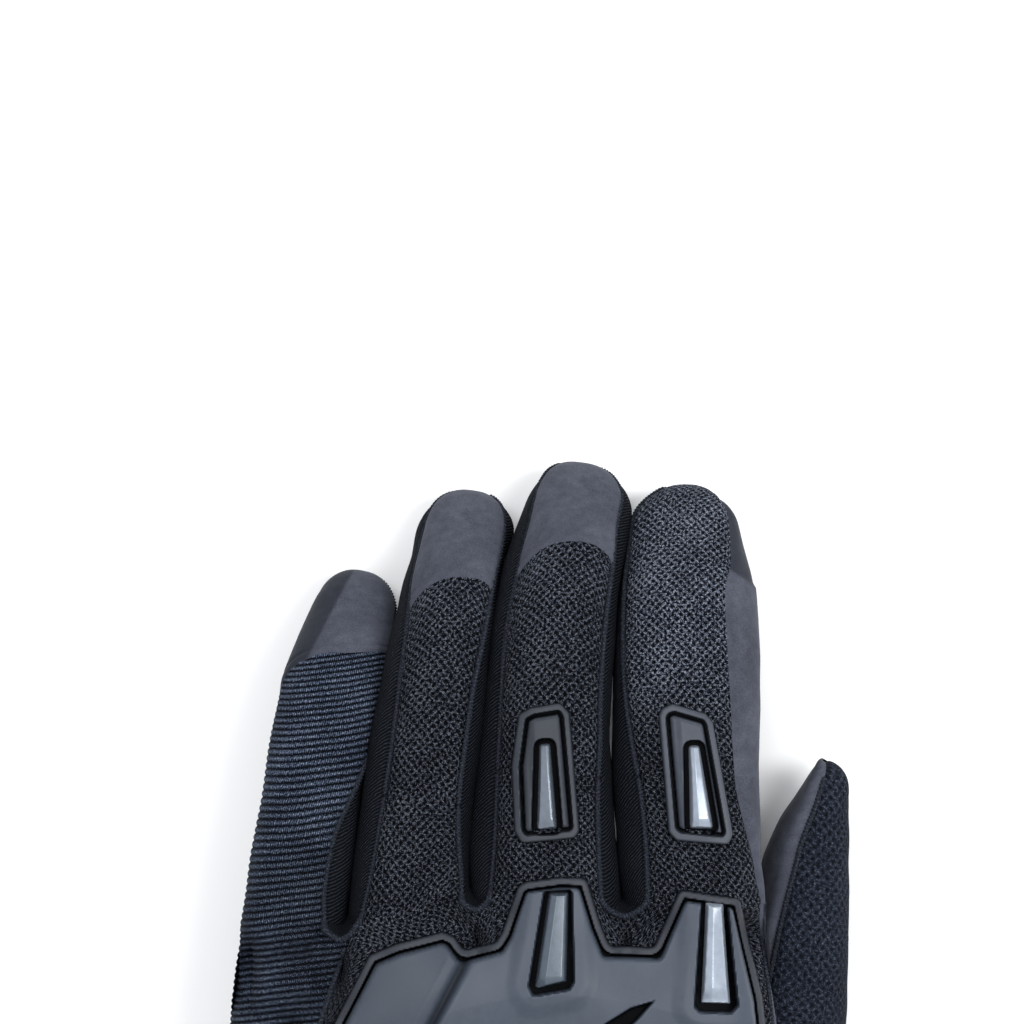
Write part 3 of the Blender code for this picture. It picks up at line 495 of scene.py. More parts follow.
def mat_rib():
    m, nt, p = new_mat("rib_knit_blue_black")
    g = Nodes(nt)
    at = g.node("ShaderNodeAttribute", attribute_name="rib_phase")
    vec, u, v = g.uv_mm()
    ph = at.outputs["Fac"]
    # painted light and shade: rib crests are painted lighter and the troughs darker
    wave = g.sin01(ph, 1.0, -PI / 2)
    crest = g.math("POWER", wave, 0.42)
    stitch = g.sin01(g.math("ADD", u, g.math("MULTIPLY", g.noise(vec, 1.2, 1.0), 0.35)), 0.40)
    fleck = g.noise(vec, 3.0, 2.0, 0.65, 0.4)
    big = g.noise(vec, 0.09, 2.0)
    tone = g.math("MULTIPLY_ADD", crest, 0.56, g.math("MULTIPLY", stitch, 0.30))
    tone = g.math("ADD", tone, g.math("MULTIPLY_ADD", fleck, 1.5, -0.89))
    tone = g.math("ADD", tone, g.math("MULTIPLY_ADD", big, 0.35, -0.17))
    col = g.ramp(tone, [(0.16, (0.0010, 0.0015, 0.0030)), (0.36, (0.0072, 0.0105, 0.0185)), (0.56, (0.039, 0.052, 0.083)),
                        (0.78, (0.122, 0.150, 0.208)), (0.93, (0.25, 0.29, 0.37))])
    # painted light: the lift attribute scales the rib colour up where the light falls more strongly
    lift = g.node("ShaderNodeAttribute", attribute_name="lift")
    gain = g.node("ShaderNodeVectorMath", operation="SCALE")
    g.link(col, gain.inputs[0])
    g.link(g.math("MULTIPLY_ADD", lift.outputs["Fac"], 0.55, 0.40), gain.inputs["Scale"])
    g.link(gain.outputs[0], p.inputs["Base Color"])
    p.inputs["Roughness"].default_value = 0.85
    p.inputs["Specular IOR Level"].default_value = 0.06
    h = g.math("MULTIPLY_ADD", stitch, 0.5, g.math("MULTIPLY", fleck, 0.6))
    g.link(g.bump(h, 0.0002, 0.8), p.inputs["Normal"])
    return m


def mat_twill():
    m, nt, p = new_mat("stretch_twill_black")
    g = Nodes(nt)
    vec, u, v = g.uv_mm()
    d = g.math("ADD", g.math("MULTIPLY", u, 0.75), g.math("MULTIPLY", v, 1.0))
    wob = g.math("MULTIPLY", g.noise(vec, 0.8, 1.0), 0.5)
    line = g.sin01(g.math("ADD", d, wob), 0.72)
    broken = g.noise(vec, 3.6, 1.5, 0.55)
    tone = g.math("MULTIPLY", g.math("POWER", line, 1.4), g.math("MULTIPLY_ADD", broken, 1.2, 0.1))
    col = g.ramp(tone, [(0.05, (0.0010, 0.0012, 0.0020)), (0.4, (0.0045, 0.0055, 0.0080)), (0.75, (0.016, 0.019, 0.026)), (1.0, (0.060, 0.068, 0.085))])
    g.link(col, p.inputs["Base Color"])
    p.inputs["Roughness"].default_value = 0.8
    p.inputs["Specular IOR Level"].default_value = 0.06
    g.link(g.bump(tone, 0.0002, 0.9), p.inputs["Normal"])
    return m


def mat_whip():
    m, nt, p = new_mat("whipped_seam_thread")
    g = Nodes(nt)
    vec, u, v = g.uv_mm()
    n = g.noise(vec, 2.5, 2.0, 0.6)
    col = g.ramp(n, [(0.3, (0.0038, 0.0045, 0.0068)), (0.55, (0.016, 0.019, 0.027)), (0.8, (0.060, 0.068, 0.088))])
    g.link(col, p.inputs["Base Color"])
    p.inputs["Roughness"].default_value = 0.75
    p.inputs["Specular IOR Level"].default_value = 0.08
    g.link(g.bump(n, 0.0001, 0.6), p.inputs["Normal"])
    return m


def mat_suede(name="microfibre_leather", dark=1.0, use_obj=False, grain=1.0):
    m, nt, p = new_mat(name)
    g = Nodes(nt)
    vec = g.obj_mm() if use_obj else g.uv_mm()[0]
    big = g.noise(vec, 0.07, 3.0, 0.6, 0.4)
    mid = g.noise(vec, 0.5, 3.0, 0.6)
    fine = g.noise(vec, 3.0, 3.0, 0.65)
    tone = g.math("ADD", g.math("MULTIPLY", big, 0.60), g.math("ADD", g.math("MULTIPLY", mid, 0.35), g.math("MULTIPLY_ADD", fine, 0.55, -0.20)))
    k = dark
    col = g.ramp(tone, [(0.35, (0.029 * k, 0.0315 * k, 0.043 * k)), (0.55, (0.047 * k, 0.0515 * k, 0.068 * k)), (0.75, (0.073 * k, 0.079 * k, 0.101 * k))])
    # where the sunk attribute is set the leather is mixed towards near black: painted shade on the turned-away sides
    # of the thumb and the little fingertip
    sunk = g.node("ShaderNodeAttribute", attribute_name="sunk")
    mix = g.node("ShaderNodeMix", data_type="RGBA")
    g.link(sunk.outputs["Fac"], mix.inputs["Factor"])
    g.link(col, mix.inputs[6])
    mix.inputs[7].default_value = (0.010, 0.0115, 0.0165, 1.0)
    g.link(mix.outputs[2], p.inputs["Base Color"])
    r = g.math("MULTIPLY_ADD", mid, -0.12, 0.86)
    g.link(r, p.inputs["Roughness"])
    p.inputs["Specular IOR Level"].default_value = 0.12
    sheen(p, 0.06, 0.35, (0.85, 0.88, 1.0))
    h = g.math("MULTIPLY_ADD", fine, 0.7, g.math("MULTIPLY", mid, 0.5))
    g.link(g.bump(h, 0.00012 * grain, 0.6), p.inputs["Normal"])
    return m


def mat_tpr(name, lo, hi, rough=0.42, grain=0.00003):
    m, nt, p = new_mat(name)
    g = Nodes(nt)
    vec = g.obj_mm()
    big = g.noise(vec, 0.05, 2.0, 0.5)
    mid = g.noise(vec, 0.6, 3.0, 0.6)
    fine = g.noise(vec, 4.5, 2.0, 0.6)
    tone = g.math("ADD", g.math("MULTIPLY", big, 0.6), g.math("MULTIPLY", mid, 0.4))
    # painted highlight and shade: convex edges are lightened and hollows darkened through pointiness
    geo = g.node("ShaderNodeNewGeometry")
    edge = g.math("MULTIPLY_ADD", geo.outputs["Pointiness"], 2.4, -0.7, clamp=True)
    tone = g.math("ADD", tone, g.math("MULTIPLY_ADD", edge, 0.5, -0.25))
    base = g.ramp(tone, [(0.3, lo), (0.75, hi)])
    # painted shade: on the moulded grooves, moats, outline edges and skirts, where the sunk attribute is set, the
    # colour is mixed towards near black and the specular lowered
    sunk = g.node("ShaderNodeAttribute", attribute_name="sunk")
    mix = g.node("ShaderNodeMix", data_type="RGBA")
    g.link(sunk.outputs["Fac"], mix.inputs["Factor"])
    g.link(base, mix.inputs[6])
    mix.inputs[7].default_value = (0.0016, 0.0018, 0.0024, 1.0)
    g.link(mix.outputs[2], p.inputs["Base Color"])
    r = g.math("MULTIPLY_ADD", mid, 0.16, rough - 0.08)
    g.link(r, p.inputs["Roughness"])
    g.link(g.math("MULTIPLY_ADD", sunk.outputs["Fac"], -0.20, 0.22), p.inputs["Specular IOR Level"])
    g.link(g.bump(fine, grain, 0.7), p.inputs["Normal"])
    return m


def mat_ridge(name, lo, hi, gloss, metal):
    m, nt, p = new_mat(name)
    g = Nodes(nt)
    vec = g.obj_mm()
    mid = g.noise(vec, 0.8, 3.0, 0.6)
    fine = g.noise(vec, 8.0, 2.0, 0.5)
    col = g.ramp(mid, [(0.3, lo), (0.7, hi)])
    g.link(col, p.inputs["Base Color"])
    r = g.math("MULTIPLY_ADD", mid, 0.06, 0.22)
    g.link(r, p.inputs["Roughness"])
    p.inputs["Specular IOR Level"].default_value = gloss
    p.inputs["Metallic"].default_value = metal
    g.link(g.bump(fine, 0.00001, 0.5), p.inputs["Normal"])
    return m


def mat_pile(name="hook_and_loop_pile", loop=True):
    m, nt, p = new_mat(name)
    g = Nodes(nt)
    vec = g.uv_mm()[0]
    c = g.voronoi(vec, 1.6 if loop else 1.1, 0.55 if loop else 0.15)
    n = g.noise(vec, 3.0, 3.0, 0.7, 0.8)
    tone = g.math("ADD", g.math("SUBTRACT", 0.9, c), g.math("MULTIPLY_ADD", n, 0.5, -0.3))
    col = g.ramp(tone, [(0.2, (0.002, 0.002, 0.003)), (0.6, (0.011, 0.012, 0.015)), (0.95, (0.045, 0.05, 0.06))])
    g.link(col, p.inputs["Base Color"])
    p.inputs["Roughness"].default_value = 0.95
    g.link(g.bump(tone, 0.0005, 1.0), p.inputs["Normal"])
    return m


def mat_neoprene(name="neoprene_jersey", k=1.0):
    m, nt, p = new_mat(name)
    g = Nodes(nt)
    vec, u, v = g.uv_mm()
    wale = g.sin01(g.math("ADD", u, g.math("MULTIPLY", g.noise(vec, 0.5, 1.0), 0.4)), 0.62)
    course = g.sin01(v, 0.9)
    n = g.noise(vec, 3.0, 2.0, 0.6)
    tone = g.math("ADD", g.math("MULTIPLY", g.math("MULTIPLY", wale, course), 0.6), g.math("MULTIPLY", n, 0.5))
    col = g.ramp(tone, [(0.2, (0.004 * k, 0.0045 * k, 0.006 * k)), (0.55, (0.013 * k, 0.0145 * k, 0.019 * k)), (0.95, (0.05 * k, 0.056 * k, 0.07 * k))])
    g.link(col, p.inputs["Base Color"])
    p.inputs["Roughness"].default_value = 0.82
    g.link(g.bump(tone, 0.0002, 0.7), p.inputs["Normal"])
    return m


def mat_thread():
    m, nt, p = new_mat("sewing_thread_grey")
    g = Nodes(nt)
    vec = g.obj_mm()
    n = g.noise(vec, 3.0, 2.0)
    col = g.ramp(n, [(0.3, (0.02, 0.022, 0.028)), (0.7, (0.06, 0.066, 0.08))])
    g.link(col, p.inputs["Base Color"])
    p.inputs["Roughness"].default_value = 0.5
    return m


M_MESH, M_RIB, M_TWILL, M_WHIP = mat_air_mesh(), mat_rib(), mat_twill(), mat_whip()
M_THUMB_MESH = mat_air_mesh("thumb_mesh_knit", 1.10, 1.3, 0.36)
M_SUEDE = mat_suede()
M_PAD = mat_suede("padded_palm_leather", 0.8, grain=1.6)
M_SLATE = mat_tpr("slate_rubber_satin", (0.038, 0.047, 0.063), (0.052, 0.064, 0.086), 0.42)
M_DARK = mat_tpr("charcoal_rubber", (0.018, 0.021, 0.028), (0.034, 0.038, 0.048), 0.5)
# painted light: a paler copy of the charcoal rubber, used on the index guard frame where the light falls more
# strongly
M_DARK_LIT = mat_tpr("charcoal_rubber_painted_lit", (0.026, 0.031, 0.042), (0.050, 0.057, 0.073), 0.42)
M_GROOVE = mat_tpr("black_rubber_groove", (0.003, 0.0035, 0.0045), (0.010, 0.011, 0.014), 0.5)
# painted light and shade: lighter (index) and darker (middle) copies of one grey ridge material, standing in for the
# stronger light on the index side
M_RIDGE = mat_ridge("grey_ridge_painted_lit", (0.245, 0.282, 0.340), (0.292, 0.334, 0.398), 0.7, 0.22)
M_RIDGE_GLOSSY_SHADED = mat_ridge("grey_ridge_glossy_painted_shaded", (0.120, 0.145, 0.178), (0.150, 0.178, 0.216), 1.0, 0.3)
M_RIDGE_SHADED = mat_ridge("grey_ridge_painted_shaded", (0.066, 0.084, 0.106), (0.082, 0.102, 0.128), 0.35, 0.10)
M_LOOP, M_HOOK = mat_pile(), mat_pile("hook_side", False)
M_NEO = mat_neoprene()
M_LINING = mat_neoprene("inner_lining", 0.7)
M_THREAD = mat_thread()


# ------------------------------------------------------------------ surface detail, in mm outwards
def seam_dip(u, width, depth=0.5, reach=0.8):
    e = np.minimum(u, width - u)
    return -depth * np.exp(-(np.maximum(e, 0) / reach) ** 2)


def soft_wrinkle(P, amp=0.35):
    x, y, z = P[..., 0], P[..., 1], P[..., 2]
    return amp * (noise2(x * 0.11 + z * 0.07 + 5, y * 0.13 + 3) * 0.7 + noise2(x * 0.27 + 9, y * 0.24 + z * 0.2 + 1) * 0.35)


def lattice(u, v, width):
    """Knit lattice of the air mesh: rows of small pits between crossing threads."""
    uu = u - width / 2
    w = 0.22 * noise2(uu * 0.45 + 40, v * 0.45 + 11)
    a, b = uu + 0.92 * v + w, uu - 0.92 * v - w
    s = (0.5 + 0.5 * np.sin(2 * PI * a / 1.58)) * (0.5 + 0.5 * np.sin(2 * PI * b / 1.58))
    return -0.30 * s ** 1.25


def d_mesh(P, u, v, w):
    return seam_dip(u, w, 0.5, 0.8) + soft_wrinkle(P) + lattice(u, v, w) + 0.08


def d_thumb(P, u, v, w):
    return seam_dip(u, w, 0.5, 0.8) + soft_wrinkle(P) + 0.3 * lattice(u, v, w) + 0.05


def d_roll(P, u, v, w):
    return d_plain(P, u, v, w) + 0.45 * np.exp(-((u - 2.4) / 1.5) ** 2)


def d_plain(P, u, v, w):
    return seam_dip(u, w, 0.45, 0.8) + soft_wrinkle(P)


def d_cap(P, u, v, w):
    return seam_dip(u, w, 0.4, 0.7) + soft_wrinkle(P, 0.2) + 0.25


def index_fold(P):
    """Above zero past the lapped seam across the index finger's outer side."""
    return P[..., 1] - (85.4 - 0.7 * (P[..., 0] - 45.0))


def d_index_palm(P, u, v, w):
    inner = 1 - np.exp(-(np.minimum(u, w - u) / 1.2) ** 2)
    return d_plain(P, u, v, w) + 0.40 * inner * (1 - smooth(index_fold(P), -0.35, 0.35)) * smooth(P[..., 0], 38, 42)


def painted_light_gradient(P):
    """Painted light: the mesh is painted paler towards the fingertips, on the index finger, towards the little-finger
    side and on the thumb, standing in for how the light falls.
    """
    x, y = P[:, 0], P[:, 1]
    idx = smooth(x, 21, 23) * (1 - smooth(x, 49, 50))
    outer = 0.24 * smooth(y, 10, 46) * (1 - smooth(x, -33, -30))
    return 0.08 + outer + 0.25 * smooth(y, 62, 92) + idx * 0.75 * smooth(y, 50, 74) + 0.5 * smooth(x, 49, 50)


def set_attr(ob, fun, name="sunk"):
    """Stores a value from 0 to 1 per point, worked out from its place in mm."""
    me = ob.data
    co = np.empty(len(me.vertices) * 3, np.float32)
    me.vertices.foreach_get("co", co)
    P = co.reshape(-1, 3) / MM - SHIFT
    a = me.attributes.new(name, "FLOAT", "POINT")
    a.data.foreach_set("value", np.clip(fun(P), 0, 1).astype(np.float32))


RIB_Y = np.arange(-140.0, 120.0, 0.5)
RIB_N = np.cumsum(0.5 / np.interp(RIB_Y, [15.0, 32.0, 48.0, 58.0, 70.0], [1.19, 1.34, 1.36, 1.16, 0.98]))


def rib_phase(P):
    x, y = P[..., 0], P[..., 1]
    bow = 0.11 * (x + 42) - 0.004 * np.minimum(0, x + 44) ** 2
    wob = 0.35 * noise2(x * 0.12 + 3, y * 0.05 + 8)
    return np.interp(y - bow + wob, RIB_Y, RIB_N)


def d_rib(P, u, v, w):
    ph = rib_phase(P)
    rib = np.abs(np.sin(PI * ph)) ** 0.75
    side = smooth(-P[..., 0], 18, 40)
    groove = np.zeros_like(u)
    for at in (5.2, 11.8):
        groove -= 0.22 * np.exp(-((u - at) / 0.45) ** 2)
    return seam_dip(u, w, 0.4, 0.8) + soft_wrinkle(P, 0.3) + 0.34 * (rib - 0.55) + groove


def set_rib_phase(ob):
    """Stores the rib count along the panel, so the painted light and shade on the knit (lighter crests, darker
    troughs) follows the real ribs.
    """
    me = ob.data
    co = np.empty(len(me.vertices) * 3, np.float32)
    me.vertices.foreach_get("co", co)
    P = co.reshape(-1, 3) / MM - SHIFT
    a = me.attributes.new("rib_phase", "FLOAT", "POINT")
    a.data.foreach_set("value", rib_phase(P).astype(np.float32))


# ------------------------------------------------------------------ fingers
def seam_angle(table, n):
    f = dense(table)
    return lambda t: np.arccos(np.clip(f(t), 0, 1) ** (n / 2))


def start_t(tb, th_fun, s):
    """Where each column of a finger panel meets the hand's front edge."""
    t = np.full(s.shape, 4.0)
    for _ in range(12):
        P = tb.P(t, th_fun(t, s))
        t = t + 0.8 * (front_x(P[..., 0]) - P[..., 1])
    return t


def finger_point(name, t):
    return TUBES[name].c(np.array(float(t)))


def vec_m(p):
    return tuple(float(x) for x in to_m(p))


def bend_root(ob, name):
    tb, sp = TUBES[name], FINGERS[name]
    t0 = {"index": 7.2, "middle": 8.0, "ring": 8.4, "pinky": 7.0}[name]
    t1 = {"index": 16.8, "middle": 16.6, "ring": 19.0, "pinky": 18.0}[name]
    vec_m(tb.c(np.array(t0)))
    vec_m(tb.c(np.array(t1)))
    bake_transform(ob)


def bend_pip(ob, name):
    tb, sp = TUBES[name], FINGERS[name]
    t0 = sp["pip"] - (1.5 if name in ("index", "middle") else 7.0)
    t1 = sp["pip"] + (13.0 if name in ("index", "middle") else 8.0)
    vec_m(tb.c(np.array(t0)))
    vec_m(tb.c(np.array(t1)))
    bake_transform(ob)


def build_finger(name):
    tb, sp = TUBES[name], FINGERS[name]
    L = tb.length
    thL = (lambda f: (lambda t: PI - f(t)))(seam_angle(SEAM_L[name], tb.n))
    if name == "index":
        wrap = dense(INDEX_WRAP)
        thR = lambda t: wrap(t) * RAD
    else:
        thR = seam_angle(SEAM_R[name], tb.n)
    low_l, low_r = (lambda t: 218 * RAD + 0 * t), (lambda t: -38 * RAD + 0 * t)
    under_r = lambda t: 322 * RAD + 0 * t
    if name == "pinky":
        strips = [("back", thR, low_l, M_RIB, d_rib), ("palm", low_l, under_r, M_SUEDE, d_plain),
                  ("side_right", low_r, thR, M_TWILL, d_plain)]
    elif name == "index":
        strips = [("back", thR, thL, M_MESH, d_mesh), ("side_left", thL, low_l, M_TWILL, d_plain),
                  ("palm", low_l, lambda t: 2 * PI + thR(t), M_SUEDE, d_index_palm)]
    else:
        strips = [("back", thR, thL, M_MESH, d_mesh), ("side_left", thL, low_l, M_TWILL, d_plain),
                  ("palm", low_l, under_r, M_SUEDE, d_plain), ("side_right", low_r, thR, M_TWILL, d_plain)]
    t_mid = sp["pip"] * 0.62
    plain = lambda t, th, off: tb.P(t, th, off)
    # between two fingers the strips swell until they meet
    TT = np.arange(-12.0, L + 4, 0.5)
    room = {}
    for (a_, b_), line in MEET.items():
        if name not in (a_, b_):
            continue
        sgn = 1.0 if name == a_ else -1.0
        own = np.minimum(TT, L - 5.0)
        o = np.full(TT.shape, 10.0) * sgn
        for _ in range(8):
            y = tb.root[1] + own * tb.u[1] + o * tb.N[1]
            slack = 0.22 * np.exp(-((y - 62.0) / 8.0) ** 4) if (a_, b_) == ("middle", "index") else 0.0 * y
            xm = np.interp(y, [q[0] for q in line], [q[1] for q in line]) - (slack - 0.06) * sgn
            o = (xm - tb.root[0] - own * tb.u[0]) / tb.N[0]
        have = (tb.r if sgn > 0 else tb.l)(own)
        e = np.clip(sgn * o - have, -0.8, 5.4)
        for _ in range(6):
            e[1:-1] = 0.25 * e[:-2] + 0.5 * e[1:-1] + 0.25 * e[2:]
        room[sgn] = e * (0.3 + 0.7 * smooth(L - TT, 2.0, 15.0))

    def swollen(side):
        sgn = 1.0 if side == "right" else -1.0
        e = room.get(sgn)

        def f(t, th, off):
            p = tb.P(t, th, off)
            if e is None:
                return p
            if sgn > 0:
                q = (thR(t) - th) / (thR(t) + 38 * RAD)
            else:
                q = (th - thL(t)) / (218 * RAD - thL(t))
            q = np.clip(q, 0, 1)
            shape = np.sin(PI * np.minimum(1.0, q ** 0.85)) ** 0.8
            k = tb.sizes(t)[3]
            return p + tb.N * (sgn * np.interp(t, TT, e) * shape * k)[..., None]
        return f
    cap_t = {"middle": lambda s: 66.9 - 3.4 * s + 16.0 * s * (1 - s),
             "ring": lambda s: 64.4 - 5.2 * s + 12.0 * s * (1 - s),
             "pinky": lambda s: 58.7 - 11.0 * s + 1.5 * s * (1 - s)}.get(name)
    for part, a, b, mat, disp in strips:
        angle = lambda t, s, a=a, b=b: a(t) + (b(t) - a(t)) * s
        fun = swollen(part[5:]) if part.startswith("side_") else plain
        fine = 0.36 if mat is M_MESH else 0.5
        wid = {"back": 24 if name != "pinky" else 34, "palm": 22 if name != "index" else 32}.get(part, 12)
        cols = int(wid / fine)
        s = np.linspace(0, 1, cols + 1)[None, :]
        # lower piece: from the hand to the middle of the first finger bone
        t0 = start_t(tb, angle, s)
        step = 0.2 if mat is M_RIB else fine
        rows = int((t_mid - 4) / step)
        g = np.linspace(0, 1, rows + 1)[:, None]
        t = t0 + (t_mid - t0) * g
        ob = surface(f"{name}_{part}_lower", fun, t, angle(t, s), mat, disp)
        if mat is M_RIB:
            set_rib_phase(ob)
        bend_root(ob, name)
        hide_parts(f"{name}_{part}_proximal")
        # upper piece: to the fingertip, or to the cap's arched seam
        end = L - 0.02
        stop = cap_t(s) if (part == "back" and cap_t) else end + 0 * s
        rows = int((end - t_mid) / step)
        g = np.linspace(0, 1, rows + 1)[:, None]
        if part == "back" and cap_t:
            t = t_mid + (stop - t_mid) * g
        else:
            g2 = np.where(g < 0.85, g / 0.85 * (1 - 0.2), 0)  # slower rows over the round end
            near = np.clip((g - 0.85) / 0.15, 0, 1)
            t1 = L - tb.dome
            t = np.where(g < 0.85, t_mid + (t1 - t_mid) * g / 0.85, t1 + (end - t1) * np.sin(PI / 2 * near))
            t = t + 0 * s
        ob = surface(f"{name}_{part}_upper", fun, t, angle(t, s), mat, disp)
        if name == "index" and part == "palm":
            set_attr(ob, lambda P: 0.75 * smooth(index_fold(P), -0.2, 0.2) * smooth(P[:, 0], 38, 41))
        if mat is M_RIB:
            set_rib_phase(ob)
        bend_pip(ob, name)
        extra = [f"{name}_fingertip"] if (name == "index" and part == "back") else []
        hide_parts(f"{name}_{part}_distal", *extra)
        if part == "back" and cap_t:
            # leather fingertip, lapped over the back panel
            ts = cap_t(s) - 0.6
            rows = int((L - 46 if name == "pinky" else L - 61) / 0.45)
            g = np.linspace(0, 1, rows + 1)[:, None]
            t1 = L - tb.dome
            lin = ts + (t1 - ts) * np.clip(g / 0.6, 0, 1)
            t = np.where(g < 0.6, lin, t1 + (end - t1) * np.sin(PI / 2 * np.clip((g - 0.6) / 0.4, 0, 1)))
            lip = lambda P, u, v, w: d_cap(P, u, v, w) + 0.25 - 0.45 * np.exp(-np.maximum(v, 0) / 0.5) - 0.28 * np.exp(-((v - 2.0) / 0.35) ** 2)
            cap = surface(f"{name}_tip_leather", plain, t, angle(t, s), M_SUEDE, lip)
            if name == "pinky":          # painted shade on the side of the tip, which is folded away from the light
                set_attr(cap, lambda P: 0.8 * smooth(-(P[:, 0] - (-41.0 + (P[:, 1] - 67.0) * 0.50)), -0.3, 0.5))
            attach(cap, name + "_distal")
            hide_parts(f"{name}_fingertip")
    # whipped seams along the back panel's two edges
    for side, f, lo in (("left", thL, 0), ("right", thR, 0)):
        if name == "pinky" and side == "left":
            continue
        if name == "index" and side == "right":
            continue
        s0 = np.array([[0.0]])
        t0 = float(start_t(tb, lambda t, s, f=f: f(t), s0)[0, 0])
        for seg, ta, tb_ in (("lower", t0 + 0.5, t_mid), ("upper", t_mid, L - 0.6)):
            ts = np.linspace(ta, tb_, 90)
            pts = tb.P(ts, f(ts), -0.08)
            ob = tube_along(f"{name}_{side}_seam_{seg}", pts, 0.5, M_WHIP, sides=10, depth=0.15, pitch=0.7)
            (bend_root if seg == "lower" else bend_pip)(ob, name)


for fname in FINGERS:
    build_finger(fname)


# ------------------------------------------------------------------ crotches between the fingers
def crotch(name, a, b):
    """Rounded end of the strip between two fingers: a whipped U on the hand's edge and the twill falling away inside it."""
    ta, tb2 = TUBES[a], TUBES[b]          # a is on the left, b on the right
    fa = seam_angle(SEAM_R[a], ta.n)
    fb = (lambda f: (lambda t: PI - f(t)))(seam_angle(SEAM_L[b], tb2.n))
    s0 = np.array([[0.0]])
    t_a = float(start_t(ta, lambda t, s: fa(t), s0)[0, 0]) + 0.4
    t_b = float(start_t(tb2, lambda t, s: fb(t), s0)[0, 0]) + 0.4
    A = [ta.P(np.array(t_a + d), fa(np.array(t_a + d)), -0.05) for d in (1.6, 0.8, 0.0)]
    B = [tb2.P(np.array(t_b + d), fb(np.array(t_b + d)), -0.05) for d in (0.0, 0.8, 1.6)]
    xs = np.linspace(A[-1][0], B[0][0], 25)[1:-1]
    mid = []
    for x in xs:
        y = float(front_x(x)) - 0.1
        c, h = (H_L(y) + H_R(y)) / 2, (H_R(y) - H_L(y)) / 2
        th = math.acos(min(1.0, abs(x - c) / h) ** (N_HAND / 2))
        th = th if x > c else PI - th
        mid.append(hand_P(np.array([[y]]), np.array([[th]]))[0, 0] + (0, 0, 0.05))
    line = np.array(A + mid + B)
    ob = tube_along(f"crotch_welt_{name}", line, 0.62, M_WHIP, sides=10, depth=0.16, pitch=0.7)
    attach(ob, "hand")
    seg = np.concatenate([[0], np.cumsum(np.linalg.norm(np.diff(line, axis=0), axis=1))])
    S = np.linspace(0, seg[-1], 61)
    top = np.stack([np.interp(S, seg, line[:, k]) for k in range(3)], -1)[None]
    r = np.linspace(0, 1, 30)[:, None]
    mx = 0.5 * (A[-1][0] + B[0][0])
    fall = 17.0 * r ** 1.1
    X = top[..., 0] + (mx - top[..., 0]) * 0.75 * np.sin(PI / 2 * r) ** 1.0
    Y = top[..., 1] + 4.6 * np.sin(PI / 2 * r)
    Z = top[..., 2] - 0.1 - fall - 1.2 * np.sqrt(r)
    P = np.stack([X, Y, Z], -1)
    uv = np.stack([S[None] + 0 * r, 18 * r + 0 * S[None]], -1) * 0.1
    web = grid_object(f"crotch_web_{name}", P, M_TWILL, uv)
    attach(web, "hand")


crotch("little_ring", "pinky", "ring")
crotch("ring_middle", "ring", "middle")
crotch("middle_index", "middle", "index")


# ------------------------------------------------------------------ thumb
def build_thumb():
    tb = THUMB_TUBE
    seam = dense(THUMB_SEAM)
    top = lambda t: seam(t) * RAD
    low = lambda t: -42 * RAD + 0 * t
    low2 = lambda t: 318 * RAD + 0 * t
    L = tb.length
    fun = lambda t, th, off: tb.P(t, th, off)
    for part, a, b, mat, disp in (("mesh", low, top, M_THUMB_MESH, d_thumb), ("leather", top, low2, M_SUEDE, d_roll)):
        fine = 0.4 if mat is M_THUMB_MESH else 0.6
        cols = int(36 / fine)
        s = np.linspace(0, 1, cols + 1)[None, :]
        for seg, ta, te in (("base", -54.0, 13.0), ("tip", 13.0, L - 0.02)):
            n = int((te - ta) / fine)
            g = np.linspace(0, 1, n + 1)[:, None]
            if seg == "tip":
                t1 = L - tb.dome
                t = np.where(g < 0.8, ta + (t1 - ta) * g / 0.8, t1 + (te - t1) * np.sin(PI / 2 * np.clip((g - 0.8) / 0.2, 0, 1)))
            else:
                t = ta + (te - ta) * g
            t = t + 0 * s
            th = a(t) + (b(t) - a(t)) * s
            ob = surface(f"thumb_{part}_{seg}_skin", fun, t, th, mat, disp)
            if part == "leather":
                # painted shade: the leather is darkened away from the seam, where it turns away and lies in the index
                # finger's shadow
                dark = 0.62 * smooth(s[0], 0.07, 0.26)
                at = ob.data.attributes.new("sunk", "FLOAT", "POINT")
                at.data.foreach_set("value", np.tile(dark, len(ob.data.vertices) // len(dark)).astype(np.float32))
            if seg == "base":
                vec_m(tb.c(np.array(-6.0)))
                vec_m(tb.c(np.array(8.0)))
                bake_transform(ob)
                extra = ["thumb_socket"] if part == "leather" else []
                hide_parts(f"thumb_{part}_base", *extra)
            else:
                vec_m(tb.c(np.array(19.0)))
                vec_m(tb.c(np.array(35.0)))
                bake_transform(ob)
                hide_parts(f"thumb_{part}_tip")
    for side, f in (("upper", top), ("lower", low)):
        for seg, ta, te in (("base", -20.0 if side == "upper" else -30.0, 13.0), ("tip", 13.0, L - 3.0)):
            ts = np.linspace(ta, te, 60)
            ob = tube_along(f"thumb_{side}_seam_{seg}", tb.P(ts, f(ts), -0.15), 0.5, M_WHIP, depth=0.1)
            if seg == "base":
                vec_m(tb.c(np.array(-6.0)))
                vec_m(tb.c(np.array(8.0)))
                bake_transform(ob)
            else:
                vec_m(tb.c(np.array(19.0)))
                vec_m(tb.c(np.array(35.0)))
                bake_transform(ob)


build_thumb()


# ------------------------------------------------------------------ hand skin
RIB_SEAM = dense([(-80, -31.0), (-60, -36.0), (-40, -39.5), (-20, -39.0), (0, -36.8), (8, -34.4), (14, -32.4), (18, -31.6), (30, -31.6)])


def theta_of_x(x, y):
    u = np.clip(np.abs(x - (H_L(y) + H_R(y)) / 2) / ((H_R(y) - H_L(y)) / 2), 0, 1)
    a = np.arccos(u ** (N_HAND / 2))
    return np.where(x > (H_L(y) + H_R(y)) / 2, a, PI - a)


